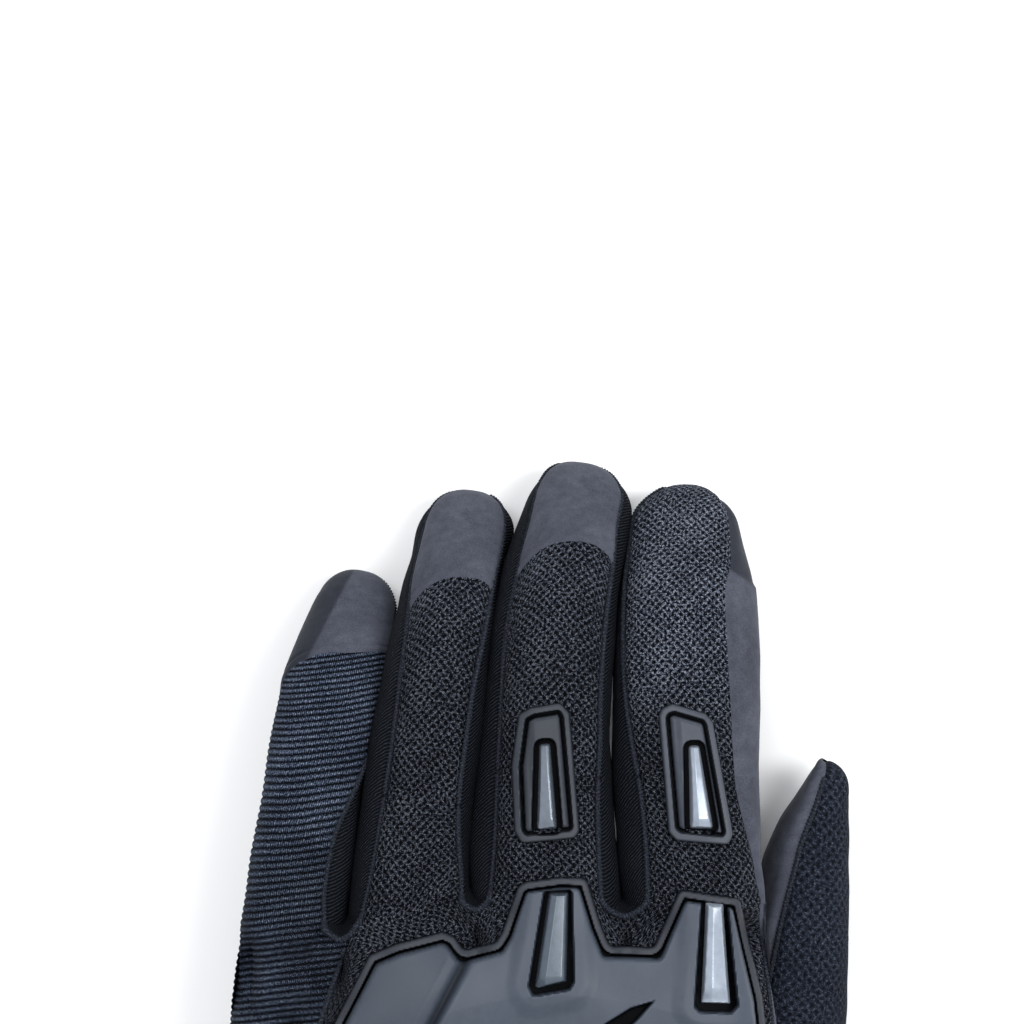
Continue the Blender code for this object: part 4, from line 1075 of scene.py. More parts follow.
def hand_front(th_fun, s):
    y = np.full(s.shape, 16.0)
    for _ in range(14):
        P = hand_P(y, th_fun(y, s))
        y = y + 0.8 * (front_x(P[..., 0]) - P[..., 1])
    return y


def hand_skin(name, a, b, mat, disp, fine, width, step=None, replaces=(), y0=WRIST_Y):
    th_fun = lambda y, s: a(y) + (b(y) - a(y)) * s
    s = np.linspace(0, 1, int(width / fine) + 1)[None, :]
    y1 = hand_front(th_fun, s)
    n = int((18 - y0) / (step or fine))
    g = np.linspace(0, 1, n + 1)[:, None]
    y = y0 + (y1 - y0) * g
    ob = surface(name, lambda t, h, off: hand_P(t, h, off), y, th_fun(y, s), mat, disp)
    if mat is M_RIB:
        set_rib_phase(ob)
    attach(ob, "hand")
    if replaces:
        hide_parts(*replaces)
    return ob


edge_r = dense([(-80, 24.0), (-50, 20.0), (-20, 10.0), (0, 9.0), (10, 10.0), (16, 12.0), (21, 13.5), (30, 14.5)])
edge_right = lambda y: edge_r(y) * RAD
rib_top = lambda y: theta_of_x(RIB_SEAM(y), y)
rib_low = lambda y: 222 * RAD + 0 * y
palm_right = lambda y: 324 * RAD + 0 * y
hand_skin("back_mesh", edge_right, rib_top, M_MESH, d_mesh, 0.42, 96, replaces=("back_mesh_panel",))
hand_skin("outer_rib", rib_top, rib_low, M_RIB, d_rib, 0.6, 48, step=0.2, replaces=("outer_rib_panel",))
hand_skin("palm_leather", rib_low, palm_right, M_SUEDE, d_plain, 0.9, 92, replaces=("palm_panel",))
hand_skin("thumb_side_leather", lambda y: palm_right(y) - 2 * PI, edge_right, M_SUEDE, d_plain, 0.8, 34, replaces=("thumb_side_panel",))

for nm, f, ya, yb_, r in (("rib_back_seam", rib_top, WRIST_Y + 1, 15.5, 0.5), ("rib_palm_seam", rib_low, WRIST_Y + 1, 13.0, 0.5),
                          ("mesh_leather_seam", edge_right, WRIST_Y + 1, 17.0, 0.4)):
    ys = np.linspace(ya, yb_, 120)
    ob = tube_along(nm, hand_P(ys, f(ys), -0.2), r, M_WHIP, depth=0.1)
    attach(ob, "hand")


# ------------------------------------------------------------------ cuff
def build_cuff():
    th = np.linspace(0, 2 * PI, 260, endpoint=False)[None, :]
    prof = []                                   # (y, outward, along)
    for y in np.arange(WRIST_Y + 0.5, CUFF_Y + 2.2, -0.7):
        prof.append((y, 0.0))
    for k in range(0, 13):                      # rolled binding at the open edge
        a = -PI / 2 + 2 * PI * k / 12 * 0.78
        prof.append((CUFF_Y + 1.4 - 1.5 * math.sin(a + PI / 2) * 1.0, -0.8 + 1.3 * math.cos(a + 0.2)))
    y = np.array([p[0] for p in prof])[:, None]
    o = np.array([p[1] for p in prof])[:, None]
    d = 0.45 * np.exp(-((y - (WRIST_Y - 1.0)) / 0.6) ** 2) * -1.0
    wr = 0.55 * np.sin((y + 85) * 0.42 + 1.2 * np.sin(th * 2)) * np.exp(-((y + 86) / 7.0) ** 2)
    P = hand_P(y + 0 * th, th + 0 * y, o + d + wr + 0 * th)
    ref = P[:, :1] * 0
    seg = np.linalg.norm(np.diff(P, axis=1, append=P[:, :1]), axis=-1)
    u = np.cumsum(seg, 1)
    v = y + 0 * th
    uv = np.stack([u, v], -1) * 0.1
    n_body = int((WRIST_Y + 0.5 - CUFF_Y - 2.2) / 0.7)
    upper = (th[0] > 8 * RAD) & (th[0] < 172 * RAD)
    body = grid_object("cuff_sleeve", P[:n_body + 1, ::-1], M_NEO, uv[:n_body + 1, ::-1], closed=True)
    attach(body, "hand")
    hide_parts("cuff_back", "cuff_palm")
    bind = grid_object("cuff_binding", P[n_body:, ::-1], M_RIB2, uv[n_body:, ::-1], closed=True)
    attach(bind, "hand")
    # inner lining, seen through the open cuff
    yy = np.linspace(CUFF_Y + 1.0, 6.0, 90)[:, None]
    Q = hand_P(yy + 0 * th[:, ::2], th[:, ::2] + 0 * yy, -1.5 - 0.4 * np.sin(yy * 0.5) ** 2)
    lin = grid_object("inner_lining_skin", Q, M_LINING, np.stack([np.cumsum(0 * Q[..., 0] + 1.0, 1), yy + 0 * Q[..., 0]], -1) * 0.1, closed=True)
    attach(lin, "hand")
    # two rows of stitches round the cuff
    for k, ys in enumerate((WRIST_Y - 3.2, CUFF_Y + 5.0)):
        stitch_row(f"cuff_stitches_{k}", hand_P(np.full(400, ys), np.linspace(0, 2 * PI, 400), 0.12), "hand")


def stitch_row(name, pts, body, pitch=2.6, length=1.9, r=0.19):
    """Separate short thread stitches along a line of points."""
    pts = np.asarray(pts, float)
    s = np.concatenate([[0], np.cumsum(np.linalg.norm(np.diff(pts, axis=0), axis=1))])
    n = int(s[-1] / pitch)
    sides, rings = 6, 5
    V, F = [], []
    for k in range(n):
        S = k * pitch + np.linspace(0, length, rings)
        C = np.stack([np.interp(S, s, pts[:, j]) for j in range(3)], -1)
        T = C[-1] - C[0]
        T = T / max(np.linalg.norm(T), 1e-9)
        X = np.cross(T, (0.0, 0.0, 1.0))
        if np.linalg.norm(X) < 1e-3:
            X = np.array((1.0, 0, 0))
        X = X / np.linalg.norm(X)
        Y = np.cross(X, T)
        base = len(V)
        for i in range(rings):
            q = math.sin(PI * (i + 0.25) / (rings - 0.5))
            rr = r * (0.35 + 0.65 * q)
            for j in range(sides):
                a = 2 * PI * j / sides
                V.append(C[i] + X * rr * math.cos(a) + Y * rr * math.sin(a))
        for i in range(rings - 1):
            for j in range(sides):
                k2 = (j + 1) % sides
                F.append((base + i * sides + j, base + (i + 1) * sides + j, base + (i + 1) * sides + k2, base + i * sides + k2))
        F.append(tuple(base + j for j in range(sides)))
        F.append(tuple(base + (rings - 1) * sides + j for j in reversed(range(sides))))
    me = bpy.data.meshes.new(name)
    me.from_pydata([tuple(p) for p in to_m(np.array(V))], [], F)
    me.shade_smooth()
    me.materials.append(M_THREAD)
    ob = bpy.data.objects.new(name, me)
    bpy.context.scene.collection.objects.link(ob)
    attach(ob, body)
    return ob


M_RIB2 = mat_neoprene("binding_tape", 1.3)
build_cuff()


# ------------------------------------------------------------------ moulded and flat pieces on the surface
def chaikin(poly, n=2, keep=0.25):
    p = np.asarray(poly, float)
    for _ in range(n):
        q = np.roll(p, -1, axis=0)
        p = np.stack([p * (1 - keep) + q * keep, p * keep + q * (1 - keep)], 1).reshape(-1, 2)
    return p


def round_poly(poly, r, n=5):
    """Rounds each corner of an outline with a radius of about r."""
    p = np.asarray(poly, float)
    out = []
    m = len(p)
    for i in range(m):
        a, b, c = p[i - 1], p[i], p[(i + 1) % m]
        la, lc = np.linalg.norm(a - b), np.linalg.norm(c - b)
        ua, uc = (a - b) / la, (c - b) / lc
        half = 0.5 * math.acos(float(np.clip(ua @ uc, -1, 1)))
        d = min(r / max(math.tan(half), 0.2), 0.45 * la, 0.45 * lc)
        A, C = b + ua * d, b + uc * d
        for k in range(n + 1):
            w = k / n
            out.append((1 - w) ** 2 * A + 2 * w * (1 - w) * b + w * w * C)
    return np.array(out)


def poly_sdf(x, y, poly):
    """Distance to an outline, positive inside."""
    P = np.stack([x.ravel(), y.ravel()], -1)
    d2 = np.full(len(P), 1e18)
    inside = np.zeros(len(P), bool)
    near = np.zeros((len(P), 2))
    m = len(poly)
    for i in range(m):
        a, b = poly[i], poly[(i + 1) % m]
        e = b - a
        w = P - a
        h = np.clip((w @ e) / max(e @ e, 1e-12), 0, 1)
        q = a + h[:, None] * e
        dd = ((P - q) ** 2).sum(1)
        better = dd < d2
        d2 = np.where(better, dd, d2)
        near[better] = q[better]
        cond = ((a[1] <= P[:, 1]) != (b[1] <= P[:, 1]))
        xs = a[0] + (P[:, 1] - a[1]) / (b[1] - a[1] if b[1] != a[1] else 1e-12) * e[0]
        inside ^= cond & (P[:, 0] < xs)
    d = np.sqrt(d2)
    return np.where(inside, d, -d).reshape(x.shape), near.reshape(x.shape + (2,))


def inset(poly, d):
    """Outline moved inwards by d, corner by corner."""
    p = np.asarray(poly, float)
    area2 = (p[:, 0] * np.roll(p[:, 1], -1) - np.roll(p[:, 0], -1) * p[:, 1]).sum()
    q = []
    for i in range(len(p)):
        a, b, c = p[i - 1], p[i], p[(i + 1) % len(p)]
        e1, e2 = (b - a) / np.linalg.norm(b - a), (c - b) / np.linalg.norm(c - b)
        n1, n2 = np.array((-e1[1], e1[0])), np.array((-e2[1], e2[0]))
        if area2 < 0:
            n1, n2 = -n1, -n2
        m = n1 + n2
        q.append(b + m * d / max(0.35, 1 + n1 @ n2))
    return np.array(q)


def relief(name, outline, seat, height, mat, res, body, skirt=1.2, replaces=(), sunk=None):
    """A moulded piece: every point inside the outline is lifted over its seat by height(x, y, inside distance)."""
    poly = np.asarray(outline, float)
    x0, y0 = poly.min(0) - res
    x1, y1 = poly.max(0) + res
    nx, ny = int((x1 - x0) / res) + 2, int((y1 - y0) / res) + 2
    X, Y = np.meshgrid(x0 + res * np.arange(nx), y0 + res * np.arange(ny))
    sd, near = poly_sdf(X, Y, poly)
    ins = sd > 0
    face = ins[:-1, :-1] & ins[1:, :-1] & ins[:-1, 1:] & ins[1:, 1:]
    for sh in (0.35,):                       # take in cells that are mostly inside, and pull their corners to the outline
        cx, cy = 0.25 * (X[:-1, :-1] + X[1:, :-1] + X[:-1, 1:] + X[1:, 1:]), 0.25 * (Y[:-1, :-1] + Y[1:, :-1] + Y[:-1, 1:] + Y[1:, 1:])
        cd, _ = poly_sdf(cx, cy, poly)
        face = cd > 0
    used = np.zeros_like(ins)
    used[:-1, :-1] |= face
    used[1:, :-1] |= face
    used[:-1, 1:] |= face
    used[1:, 1:] |= face
    rim = used.copy()
    full = np.zeros_like(ins)
    full[1:-1, 1:-1] = face[:-1, :-1] & face[1:, :-1] & face[:-1, 1:] & face[1:, 1:]
    rim &= ~full
    X = np.where(rim, near[..., 0], X)
    Y = np.where(rim, near[..., 1], Y)
    sd = np.where(rim, 0.0, sd)
    S = seat(X, Y)
    Z = S + height(X, Y, sd)
    ids = -np.ones(X.shape, int)
    ids[used] = np.arange(used.sum())
    V = np.stack([X[used], Y[used], Z[used]], -1)
    q = np.stack([ids[:-1, :-1], ids[:-1, 1:], ids[1:, 1:], ids[1:, :-1]], -1)[face]
    # skirt down into the fabric, around the rim edges
    edges = {}
    for a, b in ((0, 1), (1, 2), (2, 3), (3, 0)):
        for e in zip(q[:, a].tolist(), q[:, b].tolist()):
            key = (e[1], e[0])
            if key in edges:
                del edges[key]
            else:
                edges[e] = True
    rim_ids = sorted({i for e in edges for i in e})
    low = {i: len(V) + k for k, i in enumerate(rim_ids)}
    VL = V[rim_ids].copy()
    VL[:, 2] = seat(VL[:, 0], VL[:, 1]) - skirt
    V = np.concatenate([V, VL])
    faces = [tuple(r) for r in q.tolist()] + [(b, a, low[a], low[b]) for a, b in edges]
    me = bpy.data.meshes.new(name)
    me.from_pydata([tuple(p) for p in to_m(V)], [], faces)
    me.validate()
    me.shade_smooth()
    me.set_sharp_from_angle(angle=math.radians(55))
    uvl = me.uv_layers.new(name="UVMap")
    li = np.empty(len(me.loops), np.int32)
    me.loops.foreach_get("vertex_index", li)
    uvl.data.foreach_set("uv", (V[:, :2] * 0.1)[li].astype(np.float32).ravel())
    # painted shade: sunk values darken the moulding's colour, and the skirt down into the fabric is set fully dark
    if sunk is not None:
        dk = np.concatenate([np.clip(sunk(X[used], Y[used], sd[used]), 0, 1), np.ones(len(VL))])
        at = me.attributes.new("sunk", "FLOAT", "POINT")
        at.data.foreach_set("value", dk.astype(np.float32))
    me.materials.append(mat)
    ob = bpy.data.objects.new(name, me)
    bpy.context.scene.collection.objects.link(ob)
    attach(ob, body)
    if replaces:
        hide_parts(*replaces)
    return ob


def round_up(sd, w, h):
    """Rounded shoulder: 0 at the outline, h from w inwards."""
    k = np.clip(sd / w, 0, 1)
    return h * np.sqrt(np.clip(1 - (1 - k) ** 2, 0, 1))


# finger guards ------------------------------------------------------------
GUARDS = {
    "middle": dict(outer=[(1.2, 59.9), (3.5, 61.2), (9.2, 62.2), (11.0, 60.2), (12.9, 37.9), (12.0, 36.5), (1.7, 35.5), (0.4, 37.8), (-0.2, 50.0)],
                   inner=[(2.7, 59.0), (4.2, 59.8), (9.0, 60.6), (9.6, 59.4), (11.4, 38.6), (10.9, 38.1), (2.6, 37.2), (2.0, 38.2), (1.5, 50.0)],
                   ridge=[(5.2, 54.3), (7.3, 54.5), (8.6, 38.3), (4.7, 38.1)], crest=((6.5, 54.0), (7.4, 39.6))),
    "index": dict(outer=[(27.9, 59.6), (28.5, 61.0), (30.5, 62.0), (37.0, 60.1), (38.4, 58.4), (42.1, 37.1), (41.2, 35.1), (31.1, 36.0), (29.7, 37.5)],
                  inner=[(29.5, 59.2), (29.9, 60.0), (30.9, 60.3), (36.4, 58.7), (36.9, 57.9), (40.4, 37.6), (40.0, 36.9), (32.0, 37.7), (31.2, 38.5)],
                  ridge=[(33.6, 54.0), (35.7, 54.0), (38.3, 38.2), (33.8, 38.3)], crest=((34.7, 53.6), (35.5, 39.6))),
}
for gname, gd in GUARDS.items():
    tb = TUBES[gname]
    seat = lambda x, y, tb=tb: tb.top(x, y)
    outer = round_poly(gd["outer"][::-1], 1.4)
    inner = round_poly(gd["inner"][::-1], 0.9)
    ridge = round_poly(gd["ridge"][::-1], 0.7)
    cx = lambda y, c=gd["crest"]: c[0][0] + (c[1][0] - c[0][0]) * (y - c[0][1]) / (c[1][1] - c[0][1])

    tilt = 0.22 if gname == "index" else 0.12

    def h_frame(x, y, sd, inner=inner, ridge=ridge, cx=cx):
        si, _ = poly_sdf(x, y, inner)
        sr, _ = poly_sdf(x, y, ridge)
        rim = 0.5 + round_up(sd, 0.5, 1.7)
        cut = smooth(si, -0.35, -0.05) * (1 - smooth(si, 0.35, 0.75))
        pad = 0.55 * smooth(si, 0.4, 1.3) - 0.5 * smooth(cx(y) - x, 1.9, 3.6) * (si > 0.4)
        moat = smooth(sr, -1.15, -0.85)
        return rim - 1.35 * cut + np.where(si > 0.35, pad, 0) * (1 - moat) - 1.5 * moat

    def s_frame(x, y, sd, inner=inner, ridge=ridge):
        si, _ = poly_sdf(x, y, inner)
        sr, _ = poly_sdf(x, y, ridge)
        cut = smooth(si, -0.3, 0.0) * (1 - smooth(si, 0.45, 0.8))
        # painted shade: the cut round the pad, the moat round the ridge and the outline edge are set dark
        return np.maximum(np.maximum(cut, smooth(sr, -1.2, -0.9)), 1 - smooth(sd, 0.0, 0.25))

    # painted light: the index guard frame takes the paler copy of the charcoal rubber
    relief(f"{gname}_guard_base", outer, seat, h_frame, M_DARK_LIT if gname == "index" else M_DARK, 0.16, gname + "_proximal",
           replaces=(f"{gname}_guard_frame",), sunk=s_frame)
    (xa, ya), (xb, yb_) = gd["crest"]

    def h_ridge(x, y, sd, xa=xa, ya=ya, xb=xb, yb_=yb_, wide=1.9 if gname == "index" else 0.6):
        k = np.clip((ya - y) / (ya - yb_), 0, 1)
        across = x - (xa + (xb - xa) * k)
        h = 1.3 + 2.15 * smooth(k, -0.45, 0.45) + 0.5 * k
        h = h - 0.62 * np.maximum(0, -across) - 0.27 * np.maximum(0, across) - 0.5 * np.maximum(0, across - wide)
        h = h - 1.0 * smooth(yb_ + 0.9 - y, 0, 2.4)
        return np.minimum(h, 0.6 + 4.5 * sd)

    # painted light: the index ridge takes the lighter ridge copy, the middle ridge a darker glossy copy
    relief(f"{gname}_guard_crest", ridge, seat, h_ridge, M_RIDGE if gname == "index" else M_RIDGE_GLOSSY_SHADED, 0.13, gname + "_proximal",
           replaces=(f"{gname}_guard_ridge",))

# knuckle guard ------------------------------------------------------------
FLANGE = [(-33.8, 1.4), (-37.6, -10.0), (-33.6, -22.0), (-20.6, -30.6), (0.0, -35.0), (23.0, -34.0), (40.0, -28.0), (47.6, -14.0),
          (48.8, -2.0), (47.9, 6.0), (43.4, 25.0), (31.8, 26.9), (26.9, 15.8), (18.6, 16.1), (16.9, 20.2), (14.2, 29.0), (9.2, 29.3),
          (2.6, 28.4), (1.1, 27.5), (-1.9, 18.8), (-3.1, 16.9), (-9.0, 15.2), (-10.9, 17.8), (-13.1, 18.8), (-21.8, 16.6), (-27.1, 14.3)]


def skin_top(x, y):
    """Height of the finished back of the glove at a place in plan."""
    yb = front_x(x)
    yc = np.minimum(y, yb)
    z = hand_z(x, yc)
    zh, zs, zf = hand_z(x, yb), fingers_z(x, yb, 1.0, 1.45, 0.70), fingers_z(x, yb, 1.0, 1.0, 0.80)
    z = z + smooth(yc, yb - 20, yb) * (zs - zh) + smooth(yc, yb - 7.0, yb) ** 1.2 * (zf - zs)
    return np.where(y > yb, fingers_z(x, y, 1.0, 1.0, 0.9), z)


def soft_seat(sigma, lift):
    """Underside of a moulding: the back's height with everything smaller than sigma mm ironed out."""
    step = 0.25
    gx, gy = np.arange(-50.0, 60.0, step), np.arange(-48.0, 42.0, step)
    Z = skin_top(*np.meshgrid(gx, gy))
    r = int(3 * sigma / step)
    k = np.exp(-0.5 * (np.arange(-r, r + 1) * step / sigma) ** 2)
    k /= k.sum()
    for ax in (0, 1):
        pad_ = [(0, 0), (0, 0)]
        pad_[ax] = (r, r)
        Zp = np.pad(Z, pad_, mode="edge")
        Z = np.apply_along_axis(lambda row: np.convolve(row, k, mode="valid"), ax, Zp)

    def f(x, y):
        fx, fy = np.clip((x - gx[0]) / step, 0, len(gx) - 1.001), np.clip((y - gy[0]) / step, 0, len(gy) - 1.001)
        i, j = fx.astype(int), fy.astype(int)
        u, v = fx - i, fy - j
        return (Z[j, i] * (1 - u) + Z[j, i + 1] * u) * (1 - v) + (Z[j + 1, i] * (1 - u) + Z[j + 1, i + 1] * u) * v + lift
    return f


guard_seat = soft_seat(1.3, 0.45)
shell_seat = soft_seat(3.4, 0.55)


flange = round_poly(FLANGE, 1.6)
shell = round_poly(inset(FLANGE, 1.8), 1.2)
# painted shade: the flange's inner groove and outer edge are set dark
relief("knuckle_flange", flange, guard_seat, lambda x, y, sd: 0.25 + round_up(sd, 0.5, 1.15) - 1.3 * smooth(sd, 1.4, 1.7), M_DARK, 0.28,
       "hand", replaces=("knuckle_guard_flange",),
       sunk=lambda x, y, sd: np.maximum(smooth(sd, 1.3, 1.5), 1 - smooth(sd, 0.0, 0.25)))

POCKETS = {"middle": [(3.0, 9.0), (3.9, 7.1), (10.9, 8.3), (11.8, 9.8), (11.4, 27.0), (6.0, 26.8)],
           "index": [(34.4, 4.9), (35.4, 3.8), (41.6, 3.4), (43.0, 4.8), (40.9, 24.6), (35.8, 24.8)]}
INLAYS = {"middle": [(4.2, 8.8), (4.8, 8.3), (10.4, 9.6), (10.8, 26.6), (7.0, 26.4)],
          "index": [(35.7, 5.3), (41.6, 4.9), (40.1, 24.2), (36.7, 24.4)]}
pockets = {k: round_poly(v, 0.8) for k, v in POCKETS.items()}
inlays = {k: round_poly(v, 0.4) for k, v in INLAYS.items()}
VENT = np.array([(27.0, 6.2), (23.6, 2.4), (18.5, -2.2), (11.0, -5.5), (13.5, -1.5), (17.6, 2.0), (22.4, 4.9)])


def facet_line(x, y):
    """Signed distance from the groove between the ring facet and the main shell."""
    ax, ay, bx, by = -8.9, 13.4, -15.4, 1.4
    dx, dy = bx - ax, by - ay
    return ((x - ax) * dy - (y - ay) * dx) / math.hypot(dx, dy)


def crease(x, y):
    return y - (7.3 - 0.0075 * (x - 9.0) ** 2)


def guard_dome(x, y):
    crown = 3.5 - 1.5 * np.clip(((y - 2.0) / 34.0) ** 2, 0, 1.6)
    return crown - 0.10 * np.clip(-crease(x, y), 0, 9) * smooth(x, -20, -8)


def pocket_depth(x, y):
    d = 0.0 * x
    for q in pockets.values():
        sp, _ = poly_sdf(x, y, q)
        d = np.maximum(d, smooth(sp, -0.15, 0.3))
    return d


def facet_groove(x, y):
    f = facet_line(x, y)
    return np.exp(-(np.abs(f) / 0.95) ** 2.4) * smooth(y, -24, -14)


def h_shell(x, y, sd):
    h = 0.7 + np.minimum(guard_dome(x, y), 0.5 + round_up(sd, 1.0, 2.9) + 0.20 * np.maximum(sd, 0))
    # the two arms stand proud along the inlays, with a chamfer on each side
    for q in pockets.values():
        sp, _ = poly_sdf(x, y, q)
        h = h + 0.55 * (1 - smooth(-sp, 1.6, 4.6))
    h = h - 2.9 * pocket_depth(x, y) - 1.9 * facet_groove(x, y)
    f = facet_line(x, y)
    h = h + (0.75 * smooth(f, 0.9, 3.6) - 0.35) * smooth(f, 0.0, 1.2) * smooth(y, -24, -12)
    sv, _ = poly_sdf(x, y, VENT)
    h = h - 1.8 * smooth(sv, -0.1, 0.4)
    return np.maximum(h, 0.5)


def s_shell(x, y, sd):
    sv, _ = poly_sdf(x, y, VENT)
    # painted shade: pockets, the facet groove, the vent and the outline edge are set dark, and the ring facet is
    # darkened lightly
    return np.maximum.reduce([pocket_depth(x, y), 0.75 * facet_groove(x, y) ** 1.5, smooth(sv, -0.15, 0.25), 1 - smooth(sd, 0.0, 0.2),
                              0.16 * smooth(facet_line(x, y), 0.6, 2.0) * smooth(y, -24, -12)])


relief("knuckle_shell", shell, shell_seat, h_shell, M_SLATE, 0.26, "hand",
       replaces=("knuckle_guard_shell", "knuckle_guard_ring_facet"), sunk=s_shell)
for nm, p in inlays.items():
    (xa, ya), (xb, yb_) = {"middle": ((9.0, 26.0), (7.4, 10.2)), "index": ((38.6, 23.8), (39.0, 7.6))}[nm]

    def h_inlay(x, y, sd, xa=xa, ya=ya, xb=xb, yb_=yb_):
        k = np.clip((ya - y) / (ya - yb_), 0, 1)
        across = x - (xa + (xb - xa) * k)
        h = guard_dome(x, y) + 0.7 + 0.75
        lean = 0.12 if xa > 20 else 0.02
        h = h - 0.8 * np.maximum(0, -across - (0.5 + 0.6 * k)) - lean * across - 0.8 * np.maximum(0, across - (0.9 + 1.0 * k))
        h = h - 1.1 * smooth(yb_ + 0.8 - y, 0, 2.6)
        return np.minimum(h, 1.2 + 5.0 * sd)

    # painted light: the index knuckle ridge takes the lighter ridge copy, the middle one a darker copy
    relief(f"knuckle_ridge_{nm}", p, shell_seat, h_inlay, M_RIDGE if nm == "index" else M_RIDGE_SHADED, 0.15, "hand",
           skirt=-0.6, replaces=(f"knuckle_inlay_{nm}",))

# palm pads ------------------------------------------------------------------
def pad(name, cx, cy, w, h, r, node, thick, flat_bottom=False):
    poly = round_poly([(cx - w / 2, cy - h / 2), (cx + w / 2, cy - h / 2), (cx + w / 2, cy + h / 2), (cx - w / 2, cy + h / 2)], r, 8)
    x0, y0 = poly.min(0)
    x1, y1 = poly.max(0)
    n, m = int(w / 0.6), int(h / 0.6)
    gx, gy = np.meshgrid(np.linspace(-1, 1, n), np.linspace(-1, 1, m))
    # square grid mapped onto the rounded outline
    X, Y = cx + gx * w / 2, cy + gy * h / 2
    sd, near = poly_sdf(X, Y, poly)
    out = sd < 0
    X, Y = np.where(out, near[..., 0], X), np.where(out, near[..., 1], Y)
    sd = np.maximum(sd, 0)
    top = hand_z(X, Y, -1.0)
    bulge = round_up(sd, 2.6, 1.0)
    quilt = 0.30 * np.exp(-(np.abs(np.mod(X - cx + 5.5, 11) - 5.5) / 0.6) ** 2)
    if flat_bottom:
        Z = top + 0.3 - (top + 0.3 - 0.02) * bulge + 0 * quilt + quilt * 0.5 * bulge
    else:
        Z = top + 0.3 - (thick + 0.3) * bulge + quilt * bulge
    P = np.stack([X, Y, Z], -1)
    ob = grid_object(name, P[:, ::-1], M_PAD, (P[..., :2] * 0.1)[:, ::-1])
    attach(ob, "hand")
    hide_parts(node)
    ring = np.concatenate([poly, poly[:1]])
    inner = cx + (ring[:, 0] - cx) * (1 - 2.4 / w * 2), cy + (ring[:, 1] - cy) * (1 - 2.4 / h * 2)
    z = hand_z(inner[0], inner[1], -1.0)
    zz = (0.06 + 0 * z) if flat_bottom else z - thick - 0.02
    stitch_row(name + "_stitches", np.stack([inner[0], inner[1], np.maximum(zz, 0.2)], -1), "hand", 2.4, 1.7, 0.16)


pad("palm_heel_cushion", -16.0, -60.0, 40.0, 26.0, 9.0, "palm_heel_pad", 1.4, True)
pad("palm_grip_cushion", -8.0, -14.0, 62.0, 22.0, 8.0, "palm_grip_pad", 1.5)

# wrist strap ------------------------------------------------------------------
SY0, SY1 = -113.5, -89.5
SAX, SEX = -30.0, 29.0
top_z = lambda x, y: hand_z(x, y)


def strap_plate(name, outline, lo, hi, mat, body, node=(), res=0.5, soft=0.7, r=1.2, detail=None):
    poly = round_poly(outline, r, 6)
    h = lambda x, y, sd: lo + (hi - lo) * (0.35 + 0.65 * round_up(sd, soft, 1.0)) + (detail(x, y, sd) if detail else 0.0)
    return relief(name, poly, top_z, h, mat, res, body, skirt=-lo, replaces=node)


stitch_dent = lambda x, y, sd: -0.18 * np.exp(-((sd - 1.8) / 0.35) ** 2)
strap_plate("strap_loop_field", [(2.0, SY0 + 2), (26.0, SY0 + 2), (26.0, SY1 - 2), (2.0, SY1 - 2)], 0.35, 1.25, M_LOOP, "hand",
            ("strap_loop_patch",))
strap_plate("strap_sewn_end", [(SAX - 5.0, SY0), (SAX - 1.2, SY0), (SAX - 1.2, SY1), (SAX - 5.0, SY1)], 0.3, 2.2, M_NEO, "hand",
            ("strap_anchor",), detail=stitch_dent, r=0.6)
strap_plate("strap_belt", [(SAX + 0.6, SY0), (SEX - 4.0, SY0), (SEX, SY0 + 6.0), (SEX, SY1 - 6.0), (SEX - 4.0, SY1), (SAX + 0.6, SY1)],
            2.8, 4.6, M_NEO, "strap", ("strap_band",), detail=stitch_dent, r=2.0)
strap_plate("strap_hooks", [(3.0, SY0 + 2.6), (25.0, SY0 + 2.6), (25.0, SY1 - 2.6), (3.0, SY1 - 2.6)], 1.65, 2.6, M_HOOK, "strap",
            ("strap_hook_patch",))


def tab_ribs(x, y, sd):
    return 0.45 * smooth(sd, 0.8, 1.4) * (0.5 - 0.5 * np.cos(2 * PI * (x - 14) / 2.2)) * smooth(x, 17, 18) * (1 - smooth(x, 24, 25))


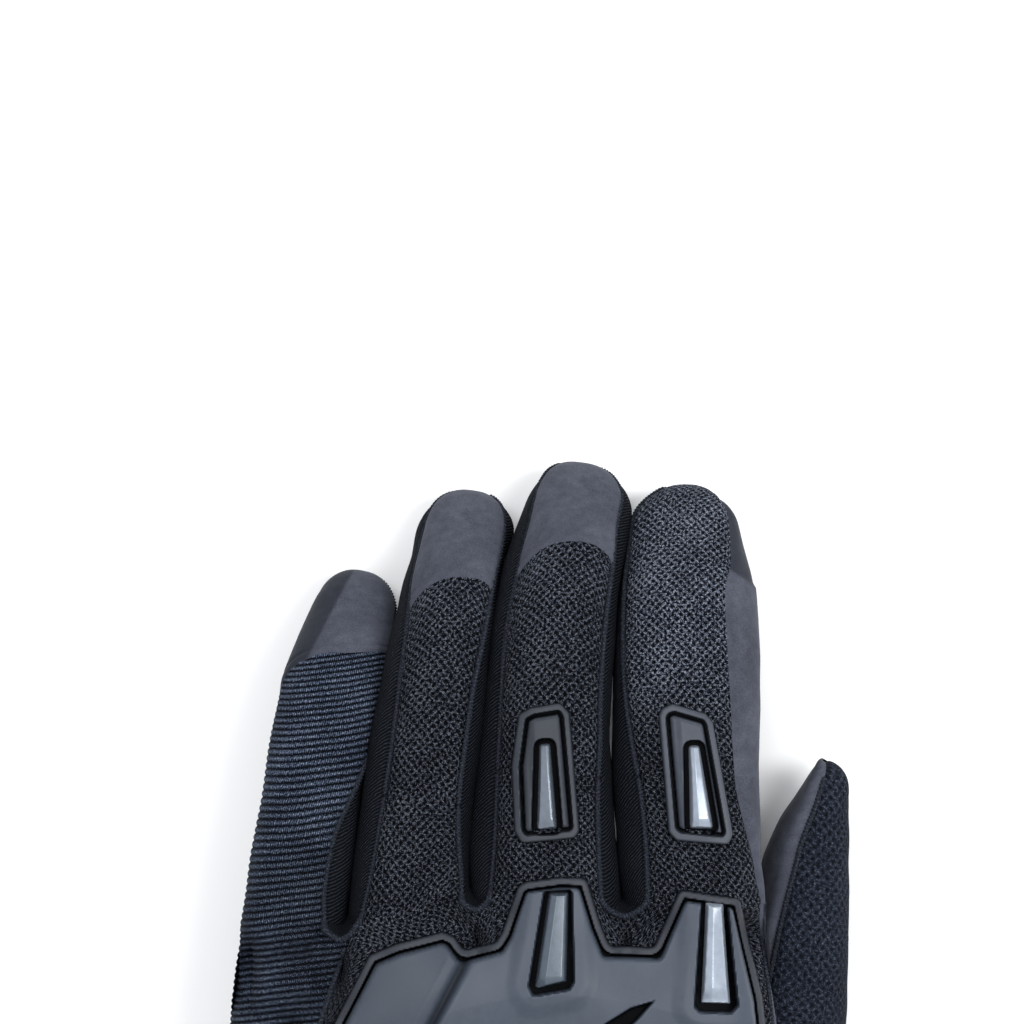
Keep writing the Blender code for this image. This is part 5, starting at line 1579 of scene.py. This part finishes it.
strap_plate("strap_tab", [(14.0, SY0 + 3.5), (27.0, SY0 + 6.5), (27.0, SY1 - 6.5), (14.0, SY1 - 3.5)], 4.5, 5.9, M_SLATE, "strap",
            ("strap_pull_tab",), res=0.3, detail=tab_ribs, r=2.0)
for k, off in enumerate((1.9,)):
    xs = np.linspace(SAX + 2.4, SEX - 5.0, 200)
    for m_, yy in enumerate((SY0 + off, SY1 - off)):
        stitch_row(f"strap_stitches_{m_}", np.stack([xs, 0 * xs + yy, top_z(xs, 0 * xs + yy) + 4.5], -1), "strap", 2.4, 1.7, 0.17)

# ------------------------------------------------------------------ stage, light, camera
def floor_mat():
    m, nt, p = new_mat("pale_floor")
    g = Nodes(nt)
    vec = g.obj_mm()
    n = g.noise(vec, 0.01, 2.0)
    col = g.ramp(n, [(0.3, (0.93, 0.93, 0.93)), (0.7, (0.95, 0.95, 0.95))])
    g.link(col, p.inputs["Base Color"])
    p.inputs["Roughness"].default_value = 0.9
    return m


me = bpy.data.meshes.new("floor")
R = 4.0
me.from_pydata([(-R, -R, -0.0006), (R, -R, -0.0006), (R, R, -0.0006), (-R, R, -0.0006)], [], [(0, 1, 2, 3)])
floor = bpy.data.objects.new("floor", me)
me.materials.append(floor_mat())
bpy.context.scene.collection.objects.link(floor)

world = bpy.data.worlds.new("studio")
bpy.context.scene.world = world
world.use_nodes = True
world.node_tree.nodes["Background"].inputs[0].default_value = (0.96, 0.98, 1.0, 1.0)
world.node_tree.nodes["Background"].inputs[1].default_value = 0.8


def area(name, loc, aim, size, power, colour=(1, 1, 1)):
    li = bpy.data.lights.new(name, "AREA")
    li.shape = "RECTANGLE"
    li.size, li.size_y = size
    li.energy = power
    li.color = colour
    ob = bpy.data.objects.new(name, li)
    ob.location = loc
    ob.rotation_euler = (Vector(aim) - Vector(loc)).to_track_quat("-Z", "Y").to_euler()
    bpy.context.scene.collection.objects.link(ob)


area("key", (-0.30, 0.55, 1.15), (0, 0.02, 0.03), (0.6, 0.6), 9.0, (0.97, 0.98, 1.0))
area("right", (0.60, 0.15, 0.95), (0, 0.02, 0.03), (0.35, 0.8), 9.0)

cam = bpy.data.cameras.new("camera")
cam.lens = 182.8
cam.sensor_width = 36.0
cam_ob = bpy.data.objects.new("camera", cam)
cam_ob.location = ((0 + SHIFT[0]) * MM, (98.46 + SHIFT[1]) * MM, 1.030)
cam_ob.rotation_euler = (0, 0, 0)
bpy.context.scene.collection.objects.link(cam_ob)
bpy.context.scene.camera = cam_ob
bpy.context.scene.view_settings.view_transform = "Standard"
